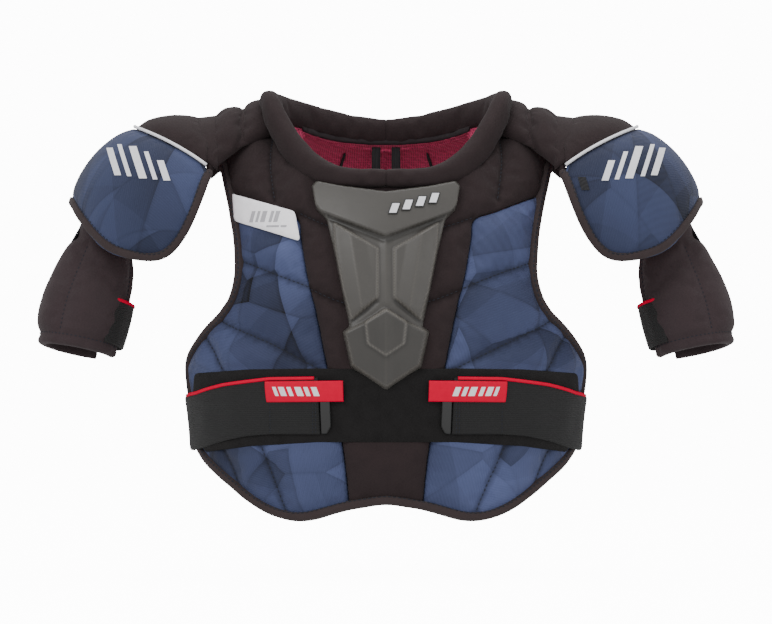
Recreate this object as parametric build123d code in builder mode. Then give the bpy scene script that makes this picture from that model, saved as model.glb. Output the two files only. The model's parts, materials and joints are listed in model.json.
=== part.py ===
"""Hockey shoulder pads: a padded vest with a collar, hinged shoulder caps, upper-arm guards and elastic straps.

Frame, in millimetres: +Z up, the wearer faces -Y, and the wearer's left is +X. The origin is on the vest's
plane of symmetry, at the height of the lowest point of the chest hem, midway between front and back.
Every left piece is modelled on the +X side, and its right twin is its mirror image.
"""

import functools
import math
import os

from build123d import *

# ---- driving dimensions -------------------------------------------------------------------------------------
FOAM = 12.0                   # quilted panels
LINER = 3.0                   # brushed liner inside the panels
GAP = 0.3                     # between neighbours that curve together
CLEARANCE = 0.6               # between neighbours on different bodies
BINDING_WIDTH = 8.0           # folded tape along every panel edge
BINDING_PROUD = 1.0           # how far the tape stands over the fabric
REACH = 260.0                 # longer than any cut through the vest
PANEL_TOP_Z = 352.0           # panel outlines end level, out of sight under the shoulder pads
EDGE_STEPS = 24               # points along one edge of a panel

# Horizontal sections of the torso at the outer face of the panels:
# height, half width, half depth, centre's y, and how far the surface leans over towards level
TORSO_SECTIONS = (
    (-12, 168, 104, 0, 0.0),
    (40, 174, 112, -1, 0.0),
    (110, 177, 118, -2, 0.0),
    (180, 172, 119, 0, 0.0),
    (240, 166, 114, 4, 0.1),
    (285, 163, 102, 9, 0.25),
    (315, 161, 86, 14, 0.45),
    (338, 156, 63, 19, 0.7),
    (352, 140, 38, 22, 0.9),
    (362, 110, 18, 23, 1.0),
)
RIDGE_Y = 20.0                # the shoulder seam, where front meets back
SIDE_Y = 25.0                 # the chest panel's side edges stop this far ahead of the middle
YOKE_Z = 290.0                # the chest panel bends away from the yoke at this height
NECK = (97.0, 74.0, -4.0)     # neck hole's half width, half depth and centre's y

COLLAR_HALF_WIDTH = 102.0
COLLAR_HALF_DEPTH = 80.0
COLLAR_CENTRE_Y = -6.0
COLLAR_FRONT_Z = 302.0
COLLAR_SIDE_Z = 366.0
COLLAR_BACK_Z = 345.0
COLLAR_THICK = 8.5            # half thickness of the roll
COLLAR_TALL = 12.5            # half height of the roll
COLLAR_STATIONS = 11

LOOP_WEBBING = (8.0, 1.6)     # hanging loop's webbing, wide and thick
LOOP_SPREAD = 9.0             # half the distance between its two legs
LOOP_TOP = (67.6, 336.0)      # y and z of its seam
LOOP_DROP = 22.0

PLATE_THICK = 5.0             # moulded plate on the breastbone
SPINE_THICK = 10.2            # foam guard down the back
BAND_LAYER = (3.2, 5.4)       # the elastic straps, measured outwards from the fabric
STRAP_HINGE_Y = -22.0         # each strap is sewn down here, at the side

ARCH_INNER_X = 111.0          # collar side of the two shoulder pads
ARCH_CHANNEL_X = 127.8        # sewn channel between them
CAP_CHANNEL_X = 157.7         # sewn channel between outer pad and cap

CAP_CENTRE = (190.0, 5.0, 262.0)
CAP_RADIUS = 94.5
CAP_FLAP_Z = 309.0            # below this height the cap's flaps reach further in than the channel
CAP_FRONT_Y = -92.0           # just ahead of the cap
CAP_SWEEP = (0.04, 1, 0.03)   # the flap at the back sits a little further out and higher than the front one

ARM_BOTTOM = (276.0, -8.0, 149.0)   # middle of the upper-arm guard's lower end
ARM_LEAN = (-0.205, 0.13, 1.0)      # direction of its axis, upwards
ARM_WALL = 8.0
ARM_SECTIONS = ((0, 31, 38), (38, 33, 40), (84, 26, 35), (112, 18.5, 29), (130, 14, 24))
ARM_GAP = (118.0, 192.0)      # the guard is open between these angles, on the inner side towards the back
ARM_STRAP = (6.0, 44.0)       # lower and upper edge of its strap, along the axis

nodes = {}


# ---- helpers ------------------------------------------------------------------------------------------------
def polygon(*points):
    """A flat face with straight edges."""
    with BuildSketch() as face:
        with BuildLine():
            Polyline(*points, close=True)
        make_face()
    return face.sketch


def symmetric(points):
    """A closed outline from the points of its right half, from one end on the middle line to the other."""
    return polygon(*points, *[(-x, z) for x, z in reversed(points) if x])


def slab(plane, low, high):
    """Everything between two offsets of a plane, to keep or to cut."""
    with BuildPart() as block:
        with BuildSketch(plane.offset(low)):
            Rectangle(4 * REACH, 4 * REACH)
        extrude(amount=high - low)
    return block.part


def kept(part, *keep, cut=()):
    """part within each solid of keep, and without the solids of cut."""
    with BuildPart() as result:
        add(part)
        for solid in keep:
            add(solid, mode=Mode.INTERSECT)
        for solid in cut:
            add(solid, mode=Mode.SUBTRACT)
    return result.part


def both_sides(name, part):
    """Files a left piece and its mirror image on the right."""
    nodes[name + "_left"] = part
    nodes[name + "_right"] = part.mirror(Plane.YZ)


@functools.lru_cache(maxsize=None)
def torso_form(grown):
    """The solid inside the torso surface, grown outwards."""
    with BuildPart() as form:
        for height, half_width, half_depth, middle_y, lean in TORSO_SECTIONS:
            outward = grown * math.sqrt(1 - 0.8 * lean)
            with BuildSketch(Plane((0, middle_y, height + grown * lean))):
                Ellipse(half_width + outward, half_depth + outward)
        loft()
    return form.part


def layer(inner, outer, outline, start_y=0.0, facing=1):
    """One layer of the torso between two offsets, within an outline drawn in the front view.
    facing is 1 for the front, from start_y towards -Y, and -1 for the back."""
    with BuildPart() as piece:
        add(torso_form(outer))
        add(torso_form(inner), mode=Mode.SUBTRACT)
        with BuildSketch(Plane.XZ.offset(-start_y)):
            add(outline)
        extrude(amount=REACH * facing, mode=Mode.INTERSECT)
    return piece.part


def panel_outline(edge_points, inset=0.0):
    """A face symmetric about the vertical. edge_points run up its right edge from the middle of the hem."""
    with BuildSketch() as outline:
        with BuildLine():
            edge = Spline(*edge_points, tangents=((1, 0), (0.2, 1)), mode=Mode.PRIVATE)
            shares = [i / EDGE_STEPS for i in range(EDGE_STEPS + 1)]
            drawn_in = [edge @ t + (edge % t).rotate(Axis.Z, 90) * inset for t in shares]
            side = Spline(*drawn_in)
            Polyline(side @ 1, ((side @ 1).X, PANEL_TOP_Z), (0, PANEL_TOP_Z))
            mirror(about=Plane.YZ)
        make_face()
    return outline.sketch


# ---- vest: chest panel --------------------------------------------------------------------------------------
CHEST_EDGE = (
    (0, 16), (36, 10), (78, 0), (108, 8), (142, 33), (163, 53), (173, 75), (176.5, 110), (175.5, 145),
    (160, 171), (142, 190), (134, 215), (135, 250), (139, 275), (145, 305), (151, 335),
)
chest_full = panel_outline(CHEST_EDGE)
chest_inner = panel_outline(CHEST_EDGE, BINDING_WIDTH)
below_yoke = slab(Plane.XY, -20, YOKE_Z - GAP)
above_yoke = slab(Plane.XY, YOKE_Z, 400)

CENTRE_EDGE = ((77, YOKE_Z + 5), (75, 250), (70, 215), (54, 140), (39, 65), (31, -5))
centre_face = polygon(*CENTRE_EDGE, *[(-x, z) for x, z in reversed(CENTRE_EDGE)])
wing_face = polygon(*[(x + GAP, z) for x, z in CENTRE_EDGE], (220, -5), (220, YOKE_Z + 5))


def foam_piece(face):
    """A foam block of the chest, inside the binding and within one panel of the cover."""
    with BuildSketch() as outline:
        add(chest_inner)
        add(face, mode=Mode.INTERSECT)
    return kept(layer(-FOAM, 0, outline.sketch, -SIDE_Y), below_yoke)


def binding(full, inner, start_y, facing):
    """Folded tape around a panel's edge, thicker than the panel by what it stands proud."""
    with BuildSketch() as ring:
        add(full)
        add(inner, mode=Mode.SUBTRACT)
    return layer(-FOAM - LINER - BINDING_PROUD, BINDING_PROUD, ring.sketch, start_y, facing)


nodes["chest_centre_panel"] = foam_piece(centre_face)
both_sides("chest_wing", foam_piece(wing_face))
nodes["chest_liner"] = kept(layer(-FOAM - LINER, -FOAM - GAP, chest_inner, -SIDE_Y), below_yoke)
nodes["chest_binding"] = kept(binding(chest_full, chest_inner, -SIDE_Y, 1), below_yoke)

# ---- vest: yoke over the shoulders, and back panel ----------------------------------------------------------
with BuildPart() as neck_hole:
    with BuildSketch(Plane((0, NECK[2], 200))):
        Ellipse(NECK[0], NECK[1])
    extrude(amount=REACH)

left_half = slab(Plane.YZ, GAP / 2, REACH)
yoke = layer(-FOAM - LINER, 0, chest_full, RIDGE_Y)
both_sides("front_yoke", kept(yoke, above_yoke, left_half, cut=(neck_hole.part,)))


BACK_EDGE = (
    (0, 38), (70, 32), (130, 40), (158, 54), (172, 80), (175.5, 115), (172, 148),
    (154, 178), (138, 205), (133, 240), (139, 290), (151, 335),
)
BACK_Y = RIDGE_Y + GAP
back_full = panel_outline(BACK_EDGE)
back_inner = panel_outline(BACK_EDGE, BINDING_WIDTH)
nodes["back_panel"] = kept(layer(-FOAM, 0, back_inner, BACK_Y, -1), cut=(neck_hole.part,))
nodes["back_liner"] = kept(layer(-FOAM - LINER, -FOAM - GAP, back_inner, BACK_Y, -1), cut=(neck_hole.part,))
back_edge = kept(binding(back_full, back_inner, BACK_Y, -1), slab(Plane.XY, -20, 338))
nodes["back_binding"] = kept(back_edge, cut=(neck_hole.part,))

SPINE_EDGE = ((46, 300), (52, 285), (44, 235), (37, 160), (33, 100), (24, 68))
spine_face = polygon(*SPINE_EDGE, *[(-x, z) for x, z in reversed(SPINE_EDGE)])
nodes["spine_guard"] = layer(GAP, SPINE_THICK, spine_face, RIDGE_Y, -1)


# ---- collar -------------------------------------------------------------------------------------------------
def collar_point(turn):
    """A point of the collar's middle line; turn runs from 0 at the throat to pi at the nape."""
    if turn < math.pi / 2:
        rise = 1 - math.cos(turn)
        height = COLLAR_FRONT_Z + (COLLAR_SIDE_Z - COLLAR_FRONT_Z) * rise**2 * (3 - 2 * rise)
    else:
        height = COLLAR_BACK_Z + (COLLAR_SIDE_Z - COLLAR_BACK_Z) * abs(math.sin(turn)) ** 1.4
    return Vector(
        COLLAR_HALF_WIDTH * math.sin(turn), COLLAR_CENTRE_Y - COLLAR_HALF_DEPTH * math.cos(turn), height
    )


STEP = 0.02                   # small change of turn, to find the collar's direction
with BuildPart() as collar_roll:
    for station in range(COLLAR_STATIONS):
        turn = math.pi * station / (COLLAR_STATIONS - 1)
        along = collar_point(turn + STEP) - collar_point(turn - STEP)
        centre = collar_point(turn)
        if station in (0, COLLAR_STATIONS - 1):
            along = Vector(math.cos(turn), 0, 0)
            centre = centre + Vector(GAP / 2, 0, 0)
        outward = Vector(math.sin(turn), -math.cos(turn), 0)
        with BuildSketch(Plane(origin=centre, x_dir=outward, z_dir=along)):
            Ellipse(COLLAR_THICK, COLLAR_TALL)
    loft()

chest_path = layer(-30, CLEARANCE, symmetric(((0, 200), (200, 200), (200, YOKE_Z), (0, YOKE_Z))))
seat = [nodes[name] for name in ("front_yoke_left", "back_panel", "back_liner", "back_binding")]
both_sides("collar", kept(collar_roll.part, cut=(*seat, chest_path)))

width, thick = LOOP_WEBBING
with BuildPart() as hang_loop:
    with BuildSketch(Plane.XZ.offset(-LOOP_TOP[0])):
        with BuildLine():
            leg = Line((LOOP_SPREAD, LOOP_TOP[1]), (LOOP_SPREAD, LOOP_TOP[1] - LOOP_DROP))
            bend = ThreePointArc(
                leg @ 1, (0, LOOP_TOP[1] - LOOP_DROP - LOOP_SPREAD), (-LOOP_SPREAD, LOOP_TOP[1] - LOOP_DROP)
            )
            other_leg = Line(bend @ 1, (-LOOP_SPREAD, LOOP_TOP[1]))
        trace(line_width=width)
    extrude(amount=thick)
nodes["hang_loop"] = hang_loop.part

# ---- front plate, loop field and label ----------------------------------------------------------------------
PLATE_EDGE = (
    (0, 115), (31, 136), (38, 167), (32, 172), (38, 200), (45, 235), (52, 265), (61, 273), (64, 289), (0, 286),
)
CROWN_EDGE = ((0, 254), (57, 273), (60, 276), (61.5, 286), (0, 283))
SHIELD_EDGE = ((0, 118), (29, 138), (35, 166), (18, 176), (0, 188))
SHIELD_INNER_EDGE = ((0, 146), (15, 157), (17, 175), (0, 186))
FACET_EDGE = ((8, 240), (43, 262), (36, 204), (29, 178), (8, 199))

with BuildPart() as sternum_plate:
    add(layer(GAP, PLATE_THICK, symmetric(PLATE_EDGE)))
    add(layer(PLATE_THICK - 1, PLATE_THICK + 3.5, symmetric(CROWN_EDGE)))
    add(layer(PLATE_THICK - 1, PLATE_THICK + 3.0, symmetric(SHIELD_EDGE)))
    add(layer(PLATE_THICK, PLATE_THICK + 4.5, symmetric(SHIELD_INNER_EDGE)))
    for side in (1, -1):
        add(layer(PLATE_THICK - 1, PLATE_THICK + 2.0, polygon(*[(side * x, z) for x, z in FACET_EDGE])))
nodes["sternum_plate"] = kept(sternum_plate.part, below_yoke)

FIELD_EDGE = ((0, 69.5), (60, 70), (120, 66), (178, 58), (178, 130), (120, 134), (60, 135), (0, 133))
with BuildSketch() as field_outline:
    add(chest_inner)
    add(symmetric(FIELD_EDGE), mode=Mode.INTERSECT)
    add(symmetric(PLATE_EDGE), mode=Mode.SUBTRACT)
nodes["loop_field"] = layer(GAP, 2.0, field_outline.sketch, -SIDE_Y)

LABEL_EDGE = ((-131, 288), (-81, 273.5), (-78, 246.5), (-128, 264.5))
nodes["chest_label"] = layer(GAP, 1.3, polygon(*LABEL_EDGE))

# ---- belly straps -------------------------------------------------------------------------------------------
STRAP_SIDE_X = 200.0          # beyond the vest's side
BAND_EDGE = (
    (57, 76), (80, 75.5), (120, 71), (STRAP_SIDE_X, 58),
    (STRAP_SIDE_X, 106), (140, 120), (100, 125.5), (57, 126.5),
)
PIPING_EDGE = (
    (57, 126.8), (100, 125.8), (140, 120.3), (STRAP_SIDE_X, 106.3),
    (STRAP_SIDE_X, 108.8), (140, 122.8), (100, 128.2), (57, 129.2),
)
TIP_EDGE = ((46, 77), (56.7, 76), (56.7, 108), (46, 108))
TAB_EDGE = ((36, 107.5), (101, 109), (101, 127), (36, 126))
HOOK_EDGE = ((60, 78), (115, 75), (115, 121), (60, 124))
inside, outside = BAND_LAYER
both_sides("strap_band", layer(inside, outside, polygon(*BAND_EDGE), STRAP_HINGE_Y))
both_sides("strap_piping", layer(inside, outside, polygon(*PIPING_EDGE), STRAP_HINGE_Y))
both_sides("strap_tip", layer(inside, outside, polygon(*TIP_EDGE), STRAP_HINGE_Y))
both_sides("strap_tab", layer(outside + 0.1, outside + 1.6, polygon(*TAB_EDGE), STRAP_HINGE_Y))
both_sides("strap_hook", layer(2.4, inside - 0.1, polygon(*HOOK_EDGE), STRAP_HINGE_Y))

ELASTIC_EDGE = ((STRAP_HINGE_Y + GAP, 61), (62, 61), (62, 109), (STRAP_HINGE_Y + GAP, 109))
with BuildPart() as side_elastic:
    add(torso_form(outside))
    add(torso_form(inside), mode=Mode.SUBTRACT)
    with BuildSketch(Plane.YZ):
        add(polygon(*ELASTIC_EDGE))
    extrude(amount=REACH, mode=Mode.INTERSECT)
both_sides("side_elastic", side_elastic.part)


# ---- shoulder pads between collar and cap -------------------------------------------------------------------
def arch(stations):
    """A padded strip over the shoulder. Each station is x, the outer arc's front, top and back points, thickness."""
    with BuildPart() as strip:
        for x, front, top, back, thickness in stations:
            with BuildSketch(Plane.YZ.offset(x)):
                with BuildLine():
                    outer = ThreePointArc(front, top, back)
                    foot = Line(outer @ 1, (back[0] - thickness, back[1]))
                    inner = ThreePointArc(
                        foot @ 1, (top[0], top[1] - thickness), (front[0] + thickness, front[1])
                    )
                    Line(inner @ 1, outer @ 0)
                make_face()
        loft(ruled=True)
    return strip.part


inner_pad = arch((
    (ARCH_INNER_X, (-32, 338), (20, 369), (72, 338), 7),
    (ARCH_CHANNEL_X - GAP, (-40, 331), (19, 365.5), (78, 331), 8.5),
))
both_sides("shoulder_pad_inner", kept(inner_pad, cut=(nodes["collar_left"], torso_form(GAP))))
outer_pad = arch((
    (ARCH_CHANNEL_X + GAP, (-40.5, 330), (19, 365), (78.5, 330), 8),
    (144, (-52, 320), (12, 363), (76, 320), 10),
    (CAP_CHANNEL_X - GAP, (-64, 311), (7, 353), (78, 311), 9),
))
both_sides("shoulder_pad_outer", kept(outer_pad, cut=(torso_form(BINDING_PROUD + CLEARANCE),)))


# ---- shoulder cap -------------------------------------------------------------------------------------------
@functools.lru_cache(maxsize=None)
def cap_form(grown):
    """The ball that the cap is cut from. Its poles and seam lie where the cap is open."""
    with BuildPart(Plane(origin=CAP_CENTRE, x_dir=(0, 0, -1), z_dir=(1, 0, 0))) as ball:
        Sphere(CAP_RADIUS + grown)
    return ball.part


CAP_HEM = (
    (300, 291), (281.5, 280), (274, 265), (259, 246), (244, 234.5), (211, 227.8), (194, 231), (180, 243.5),
    (167, 267), (156, 296), (149, 312),
)
CAP_MIDDLE = (222, 305)       # the binding's width is measured towards this point


def cap_outline(inset=0.0):
    """The cap's silhouette from the front, open beyond its top and side."""
    shares = [inset / math.dist(point, CAP_MIDDLE) for point in CAP_HEM]
    hem_points = [
        (x + (CAP_MIDDLE[0] - x) * share, z + (CAP_MIDDLE[1] - z) * share)
        for (x, z), share in zip(CAP_HEM, shares)
    ]
    with BuildSketch() as outline:
        with BuildLine():
            hem = Spline(*hem_points)
            Polyline(hem @ 1, (141, 332), (141, 400), (340, 400), (340, 310), hem @ 0)
        make_face()
    return outline.sketch


with BuildPart() as channel_side:
    with BuildSketch(Plane.XZ.offset(-REACH)):
        add(polygon((120, CAP_FLAP_Z), (CAP_CHANNEL_X + GAP, CAP_FLAP_Z), (CAP_CHANNEL_X + GAP, 420), (120, 420)))
    extrude(amount=2 * REACH)


def cap_layer(inner, outer, outline):
    """One layer of the cap, within an outline drawn in the front view, front and back alike."""
    with BuildPart() as piece:
        add(cap_form(outer))
        add(cap_form(inner), mode=Mode.SUBTRACT)
        with BuildSketch(Plane.XZ.offset(-CAP_FRONT_Y)):
            add(outline)
        extrude(amount=REACH, dir=CAP_SWEEP, mode=Mode.INTERSECT)
        add(channel_side.part, mode=Mode.SUBTRACT)
    return piece.part


def cap_region(low, high):
    """The cap's outline inside its binding, between the piping line shifted by two heights."""
    line = ((140, 301), (158, 313.5), (180, 328), (206, 341), (232, 350), (262, 353), (330, 353))
    with BuildSketch() as region:
        add(cap_outline(BINDING_WIDTH))
        strip = [(x, z + low) for x, z in line] + [(x, z + high) for x, z in reversed(line)]
        add(polygon(*strip), mode=Mode.INTERSECT)
    return region.sketch


with BuildSketch() as cap_edge:
    add(cap_outline())
    add(cap_outline(BINDING_WIDTH), mode=Mode.SUBTRACT)

COVER, SHELL, PAD = (-2.0, 0.0), (-4.5, -2.3), (-8.0, -4.8)
both_sides("cap_cover", cap_layer(*COVER, cap_region(-200, -2)))
both_sides("cap_piping", cap_layer(COVER[0], 1.5, cap_region(-1.8, 1.8)))
both_sides("cap_top", cap_layer(*COVER, cap_region(2, 100)))
both_sides("cap_shell", cap_layer(*SHELL, cap_outline(BINDING_WIDTH + GAP)))
both_sides("cap_pad", cap_layer(*PAD, cap_outline(BINDING_WIDTH + GAP)))
both_sides("cap_binding", cap_layer(PAD[0] - BINDING_PROUD, BINDING_PROUD, cap_edge.sketch))

# ---- upper-arm guard ----------------------------------------------------------------------------------------
arm_plane = Plane(origin=ARM_BOTTOM, x_dir=(1, 0, 0), z_dir=ARM_LEAN)
ARM_LENGTH = ARM_SECTIONS[-1][0]


@functools.lru_cache(maxsize=None)
def arm_form(grown):
    """The solid inside the guard's surface; its ends run past the guard's."""
    with BuildPart() as form:
        for along, half_width, half_depth in ARM_SECTIONS:
            with BuildSketch(arm_plane.offset(along)):
                Ellipse(half_width + grown, half_depth + grown)
        loft()
    return form.part


def sector(start, end, low, high):
    """A wedge about the guard's axis, between two angles from the outer side through the back."""
    steps = max(2, math.ceil((end - start) / 30))
    angles = [math.radians(start + (end - start) * i / steps) for i in range(steps + 1)]
    with BuildPart() as wedge:
        with BuildSketch(arm_plane.offset(low)):
            add(polygon((0, 0), *[(REACH * math.cos(a), REACH * math.sin(a)) for a in angles]))
        extrude(amount=high - low)
    return wedge.part


def arm_layer(inner, outer, keep):
    return kept(arm_form(outer), keep, cut=(arm_form(inner),))


arm_plate = arm_layer(-3.6, -1.6, sector(-62, 62, 14, 92))
both_sides("arm_plate", arm_plate)
arm_tube = kept(arm_form(0), cut=(arm_form(-ARM_WALL), sector(*ARM_GAP, -5, ARM_LENGTH + 5), arm_plate))
both_sides("arm_guard", arm_tube)

STRAP_ANGLES = (ARM_GAP[0] + 1, 232)
both_sides("arm_strap", arm_layer(0.5, 2.5, sector(*STRAP_ANGLES, *ARM_STRAP)))
both_sides("arm_strap_piping", arm_layer(0.5, 3.0, sector(*STRAP_ANGLES, ARM_STRAP[1] + 0.1, ARM_STRAP[1] + 2.6)))
both_sides("arm_strap_hook", arm_layer(0.2, 0.45, sector(200, 228, ARM_STRAP[0] + 3, ARM_STRAP[1] - 3)))

HANGER_HALF_ANGLE = 20.0
HANGER = (70.0, 126.0)        # the web's lower and upper end, along the guard's axis
both_sides("hanger_web", arm_layer(0.6, 2.4, sector(-HANGER_HALF_ANGLE, HANGER_HALF_ANGLE, *HANGER)))

# ---- hand over ----------------------------------------------------------------------------------------------
os.makedirs("parts", exist_ok=True)
for name, part in nodes.items():
    part.label = name
    export_step(part, f"parts/{name}.step")
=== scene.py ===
import json
import math

import bpy
import numpy as np
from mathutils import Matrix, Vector, noise
from mathutils.bvhtree import BVHTree
from mathutils.geometry import delaunay_2d_cdt


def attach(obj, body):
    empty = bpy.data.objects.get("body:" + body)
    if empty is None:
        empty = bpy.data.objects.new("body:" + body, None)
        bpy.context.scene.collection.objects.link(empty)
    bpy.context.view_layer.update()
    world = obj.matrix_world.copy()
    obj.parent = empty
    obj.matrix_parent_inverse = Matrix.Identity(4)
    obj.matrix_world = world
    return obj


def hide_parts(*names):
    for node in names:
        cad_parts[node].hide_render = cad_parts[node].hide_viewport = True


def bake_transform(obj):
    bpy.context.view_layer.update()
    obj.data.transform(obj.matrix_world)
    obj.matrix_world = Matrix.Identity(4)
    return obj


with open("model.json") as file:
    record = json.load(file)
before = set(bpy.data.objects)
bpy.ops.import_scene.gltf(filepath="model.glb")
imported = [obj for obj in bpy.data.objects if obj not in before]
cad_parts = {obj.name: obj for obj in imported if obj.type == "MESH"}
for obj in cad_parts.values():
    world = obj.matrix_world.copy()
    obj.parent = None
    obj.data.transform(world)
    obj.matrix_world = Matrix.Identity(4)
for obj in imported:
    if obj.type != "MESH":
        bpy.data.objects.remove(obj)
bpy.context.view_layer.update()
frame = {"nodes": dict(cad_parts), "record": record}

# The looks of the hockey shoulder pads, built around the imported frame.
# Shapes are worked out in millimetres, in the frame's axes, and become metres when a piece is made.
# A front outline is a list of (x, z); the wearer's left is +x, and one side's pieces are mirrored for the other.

MM = 0.001
SIDES = (("left", 1), ("right", -1))


# ==== node materials ==========================================================================================
class Signal:
    """What comes out of a node. Arithmetic with it adds Math nodes."""

    def __init__(self, shader, socket):
        self.shader, self.socket = shader, socket

    def __add__(self, other):
        return self.shader.math("ADD", self, other)

    def __sub__(self, other):
        return self.shader.math("SUBTRACT", self, other)

    def __mul__(self, other):
        return self.shader.math("MULTIPLY", self, other)


class Shader:
    """A material under construction: a Principled surface and short ways to add nodes to it."""

    def __init__(self, name, colour, roughness, **constants):
        self.colour = colour
        self.material = bpy.data.materials.new(name)
        self.material.use_nodes = True
        self.tree = self.material.node_tree
        self.surface = self.tree.nodes["Principled BSDF"]
        self.surface.inputs["Base Color"].default_value = (*colour, 1)
        self.surface.inputs["Roughness"].default_value = roughness
        for socket, value in constants.items():
            self.surface.inputs[socket.replace("_", " ")].default_value = value

    def node(self, kind, settings=(), **inputs):
        """A new node. i0, i1 and so on are its inputs by number."""
        made = self.tree.nodes.new("ShaderNode" + kind)
        for key, value in dict(settings).items():
            setattr(made, key, value)
        for key, value in inputs.items():
            socket = made.inputs[int(key[1:]) if key[0] == "i" and key[1:].isdigit() else key]
            if isinstance(value, Signal):
                self.tree.links.new(value.socket, socket)
            else:
                socket.default_value = value
        return made

    def out(self, kind, settings=(), output=0, **inputs):
        return Signal(self, self.node(kind, settings, **inputs).outputs[output])

    def math(self, operation, a, b=0.0):
        return self.out("Math", {"operation": operation}, i0=a, i1=b)

    def vector(self, operation, a, b=(0, 0, 0)):
        return self.out("VectorMath", {"operation": operation}, "Vector", i0=a, i1=b)

    def dot(self, a, b):
        return self.out("VectorMath", {"operation": "DOT_PRODUCT"}, "Value", i0=a, i1=b)

    def part(self, vector, index):
        return self.out("SeparateXYZ", output=index, i0=vector)

    def place(self):
        """Position on the piece at rest, in metres."""
        return self.out("TexCoord", output="Object")

    def cloth(self):
        """Position on the flat cloth, in millimetres."""
        return self.out("Attribute", {"attribute_name": "cloth"}, "Vector")

    def tone(self):
        """1, lower where the piece carries painted shade and higher where it carries painted highlights."""
        return self.out("Attribute", {"attribute_name": "tone"}, "Fac") + 1.0

    def noise(self, where, scale, detail=2.0, roughness=0.5):
        return self.out("TexNoise", (), "Fac", Vector=where, Scale=scale, Detail=detail, Roughness=roughness)

    def stretch(self, where, scale):
        return self.out("Mapping", i0=where, Scale=scale)

    def spread(self, share, low, high):
        return self.out("MapRange", i0=share, i3=low, i4=high)

    def paint(self, brightness):
        """The material's colour, brighter or darker by a factor that varies over the surface."""
        mixed = self.out("VectorMath", {"operation": "SCALE"}, i0=self.colour, Scale=brightness)
        self.tree.links.new(mixed.socket, self.surface.inputs["Base Color"])

    def bump(self, height, distance, strength=1.0, **under):
        return self.out("Bump", Height=height, Distance=distance, Strength=strength, **under)

    def relief(self, normal):
        self.tree.links.new(normal.socket, self.surface.inputs["Normal"])


def jersey(name, colour, brushed=0.06):
    """Knitted polyester: fine columns of stitches, slight mottling, soft sheen."""
    s = Shader(name, colour, 0.95, Sheen_Weight=brushed, Sheen_Roughness=0.5, Specular_IOR_Level=0.15)
    where = s.place()
    mottled = s.noise(where, 60, 4, 0.6) + s.noise(where, 900, 2) * 0.8
    # The colour also takes the painted shade that a piece carries along its seams
    s.paint(s.spread(mottled, 0.72, 1.12) * s.tone())
    knit = s.out("TexVoronoi", {"feature": "F1"}, Vector=s.stretch(where, (1.0, 1.0, 1.5)), Scale=1100)
    s.relief(s.bump(s.noise(where, 130, 3), 0.0006, 0.45, Normal=s.bump(knit, 0.0003, 0.5)))
    return s.material


# Each layer of shards: cells per millimetre, stretch, brightness slope, difference across the cut
SHARDS = ((0.014, (1.0, 0.55, 1.0), 0.013, 0.16), (0.021, (0.5, 1.0, 1.0), 0.013, 0.1))


def shard_print(name, colour):
    """Woven cover printed with overlapping shards: every shard has its own slope of brightness."""
    s = Shader(name, colour, 0.72, Sheen_Weight=0.05, Sheen_Roughness=0.4, Specular_IOR_Level=0.25)
    cloth = s.cloth()
    light, towards = [], []
    for scale, stretch, slope, split in SHARDS:
        where = s.stretch(cloth, stretch)
        cells = s.node("TexVoronoi", {"voronoi_dimensions": "2D"}, Vector=where, Scale=scale, Randomness=1.0)
        in_shard = s.vector("SUBTRACT", where, Signal(s, cells.outputs["Position"]))
        lean = s.vector("SUBTRACT", Signal(s, cells.outputs["Color"]), (0.5, 0.5, 0.5))
        edges = {"voronoi_dimensions": "2D", "feature": "DISTANCE_TO_EDGE"}
        border = s.out("TexVoronoi", edges, "Distance", Vector=where, Scale=scale)
        crease = s.out("MapRange", i0=border, i1=0.0, i2=0.045, i3=-0.13, i4=0.0)
        # Each shard is cut once across, and the two parts differ a little
        towards.append(s.vector("NORMALIZE", lean))
        cut = s.math("GREATER_THAN", s.dot(towards[-1], in_shard), -0.045 / scale)
        light.append(s.dot(lean, in_shard) * slope + (s.part(lean, 2) * 0.34 + crease + (cut - 0.5) * split))
    ribs = s.math("SINE", s.dot(towards[0], cloth) * 3.6)
    worn = (s.noise(s.place(), 45, 4) - 0.5) * 0.2
    # The colour also takes the painted shade that a piece carries along its seams
    s.paint((light[0] + light[1] + 1.0 + (ribs * 0.035 + worn)) * s.tone())
    fine = s.bump(ribs + s.math("SINE", s.part(cloth, 0) * 5.2), 0.00012, 0.5)
    s.relief(s.bump(s.noise(s.place(), 70, 3), 0.0012, 0.35, Normal=fine))
    return s.material


def mesh_lining(name, colour):
    """Knitted mesh: rows of small dark holes, in ridges."""
    s = Shader(name, colour, 0.8, Sheen_Weight=0.1, Specular_IOR_Level=0.2)
    cloth = s.cloth()
    holes = s.out("TexVoronoi", {"voronoi_dimensions": "2D"}, "Distance", Vector=cloth, Scale=0.42, Randomness=0.12)
    open_share = s.out("MapRange", i0=holes, i1=0.18, i2=0.42, i3=0.45, i4=1.0)
    ridge = s.math("SINE", s.dot(cloth, (0.55, 0.835, 0)) * 0.9)
    s.paint(open_share * s.spread(ridge, 0.93, 1.07))
    s.relief(s.bump(open_share + ridge * 0.35, 0.0007, 0.8))
    return s.material


def webbing(name, colour, pitch):
    """Elastic or woven tape: ribs along its length, small cross threads."""
    s = Shader(name, colour, 0.85, Sheen_Weight=0.03, Specular_IOR_Level=0.35)
    cloth = s.cloth()
    ribs = s.math("SINE", s.part(cloth, 1) * (2 * math.pi / pitch))
    threads = s.math("SINE", s.part(cloth, 0) * (2 * math.pi / (pitch * 0.8)))
    dust = s.spread(s.noise(s.place(), 55, 4), 0.88, 1.12)
    s.paint((ribs * 0.13 + threads * ribs * 0.07 + 1.0) * dust)
    s.relief(s.bump(ribs + threads * 0.5, 0.00025, 0.7))
    return s.material


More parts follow.
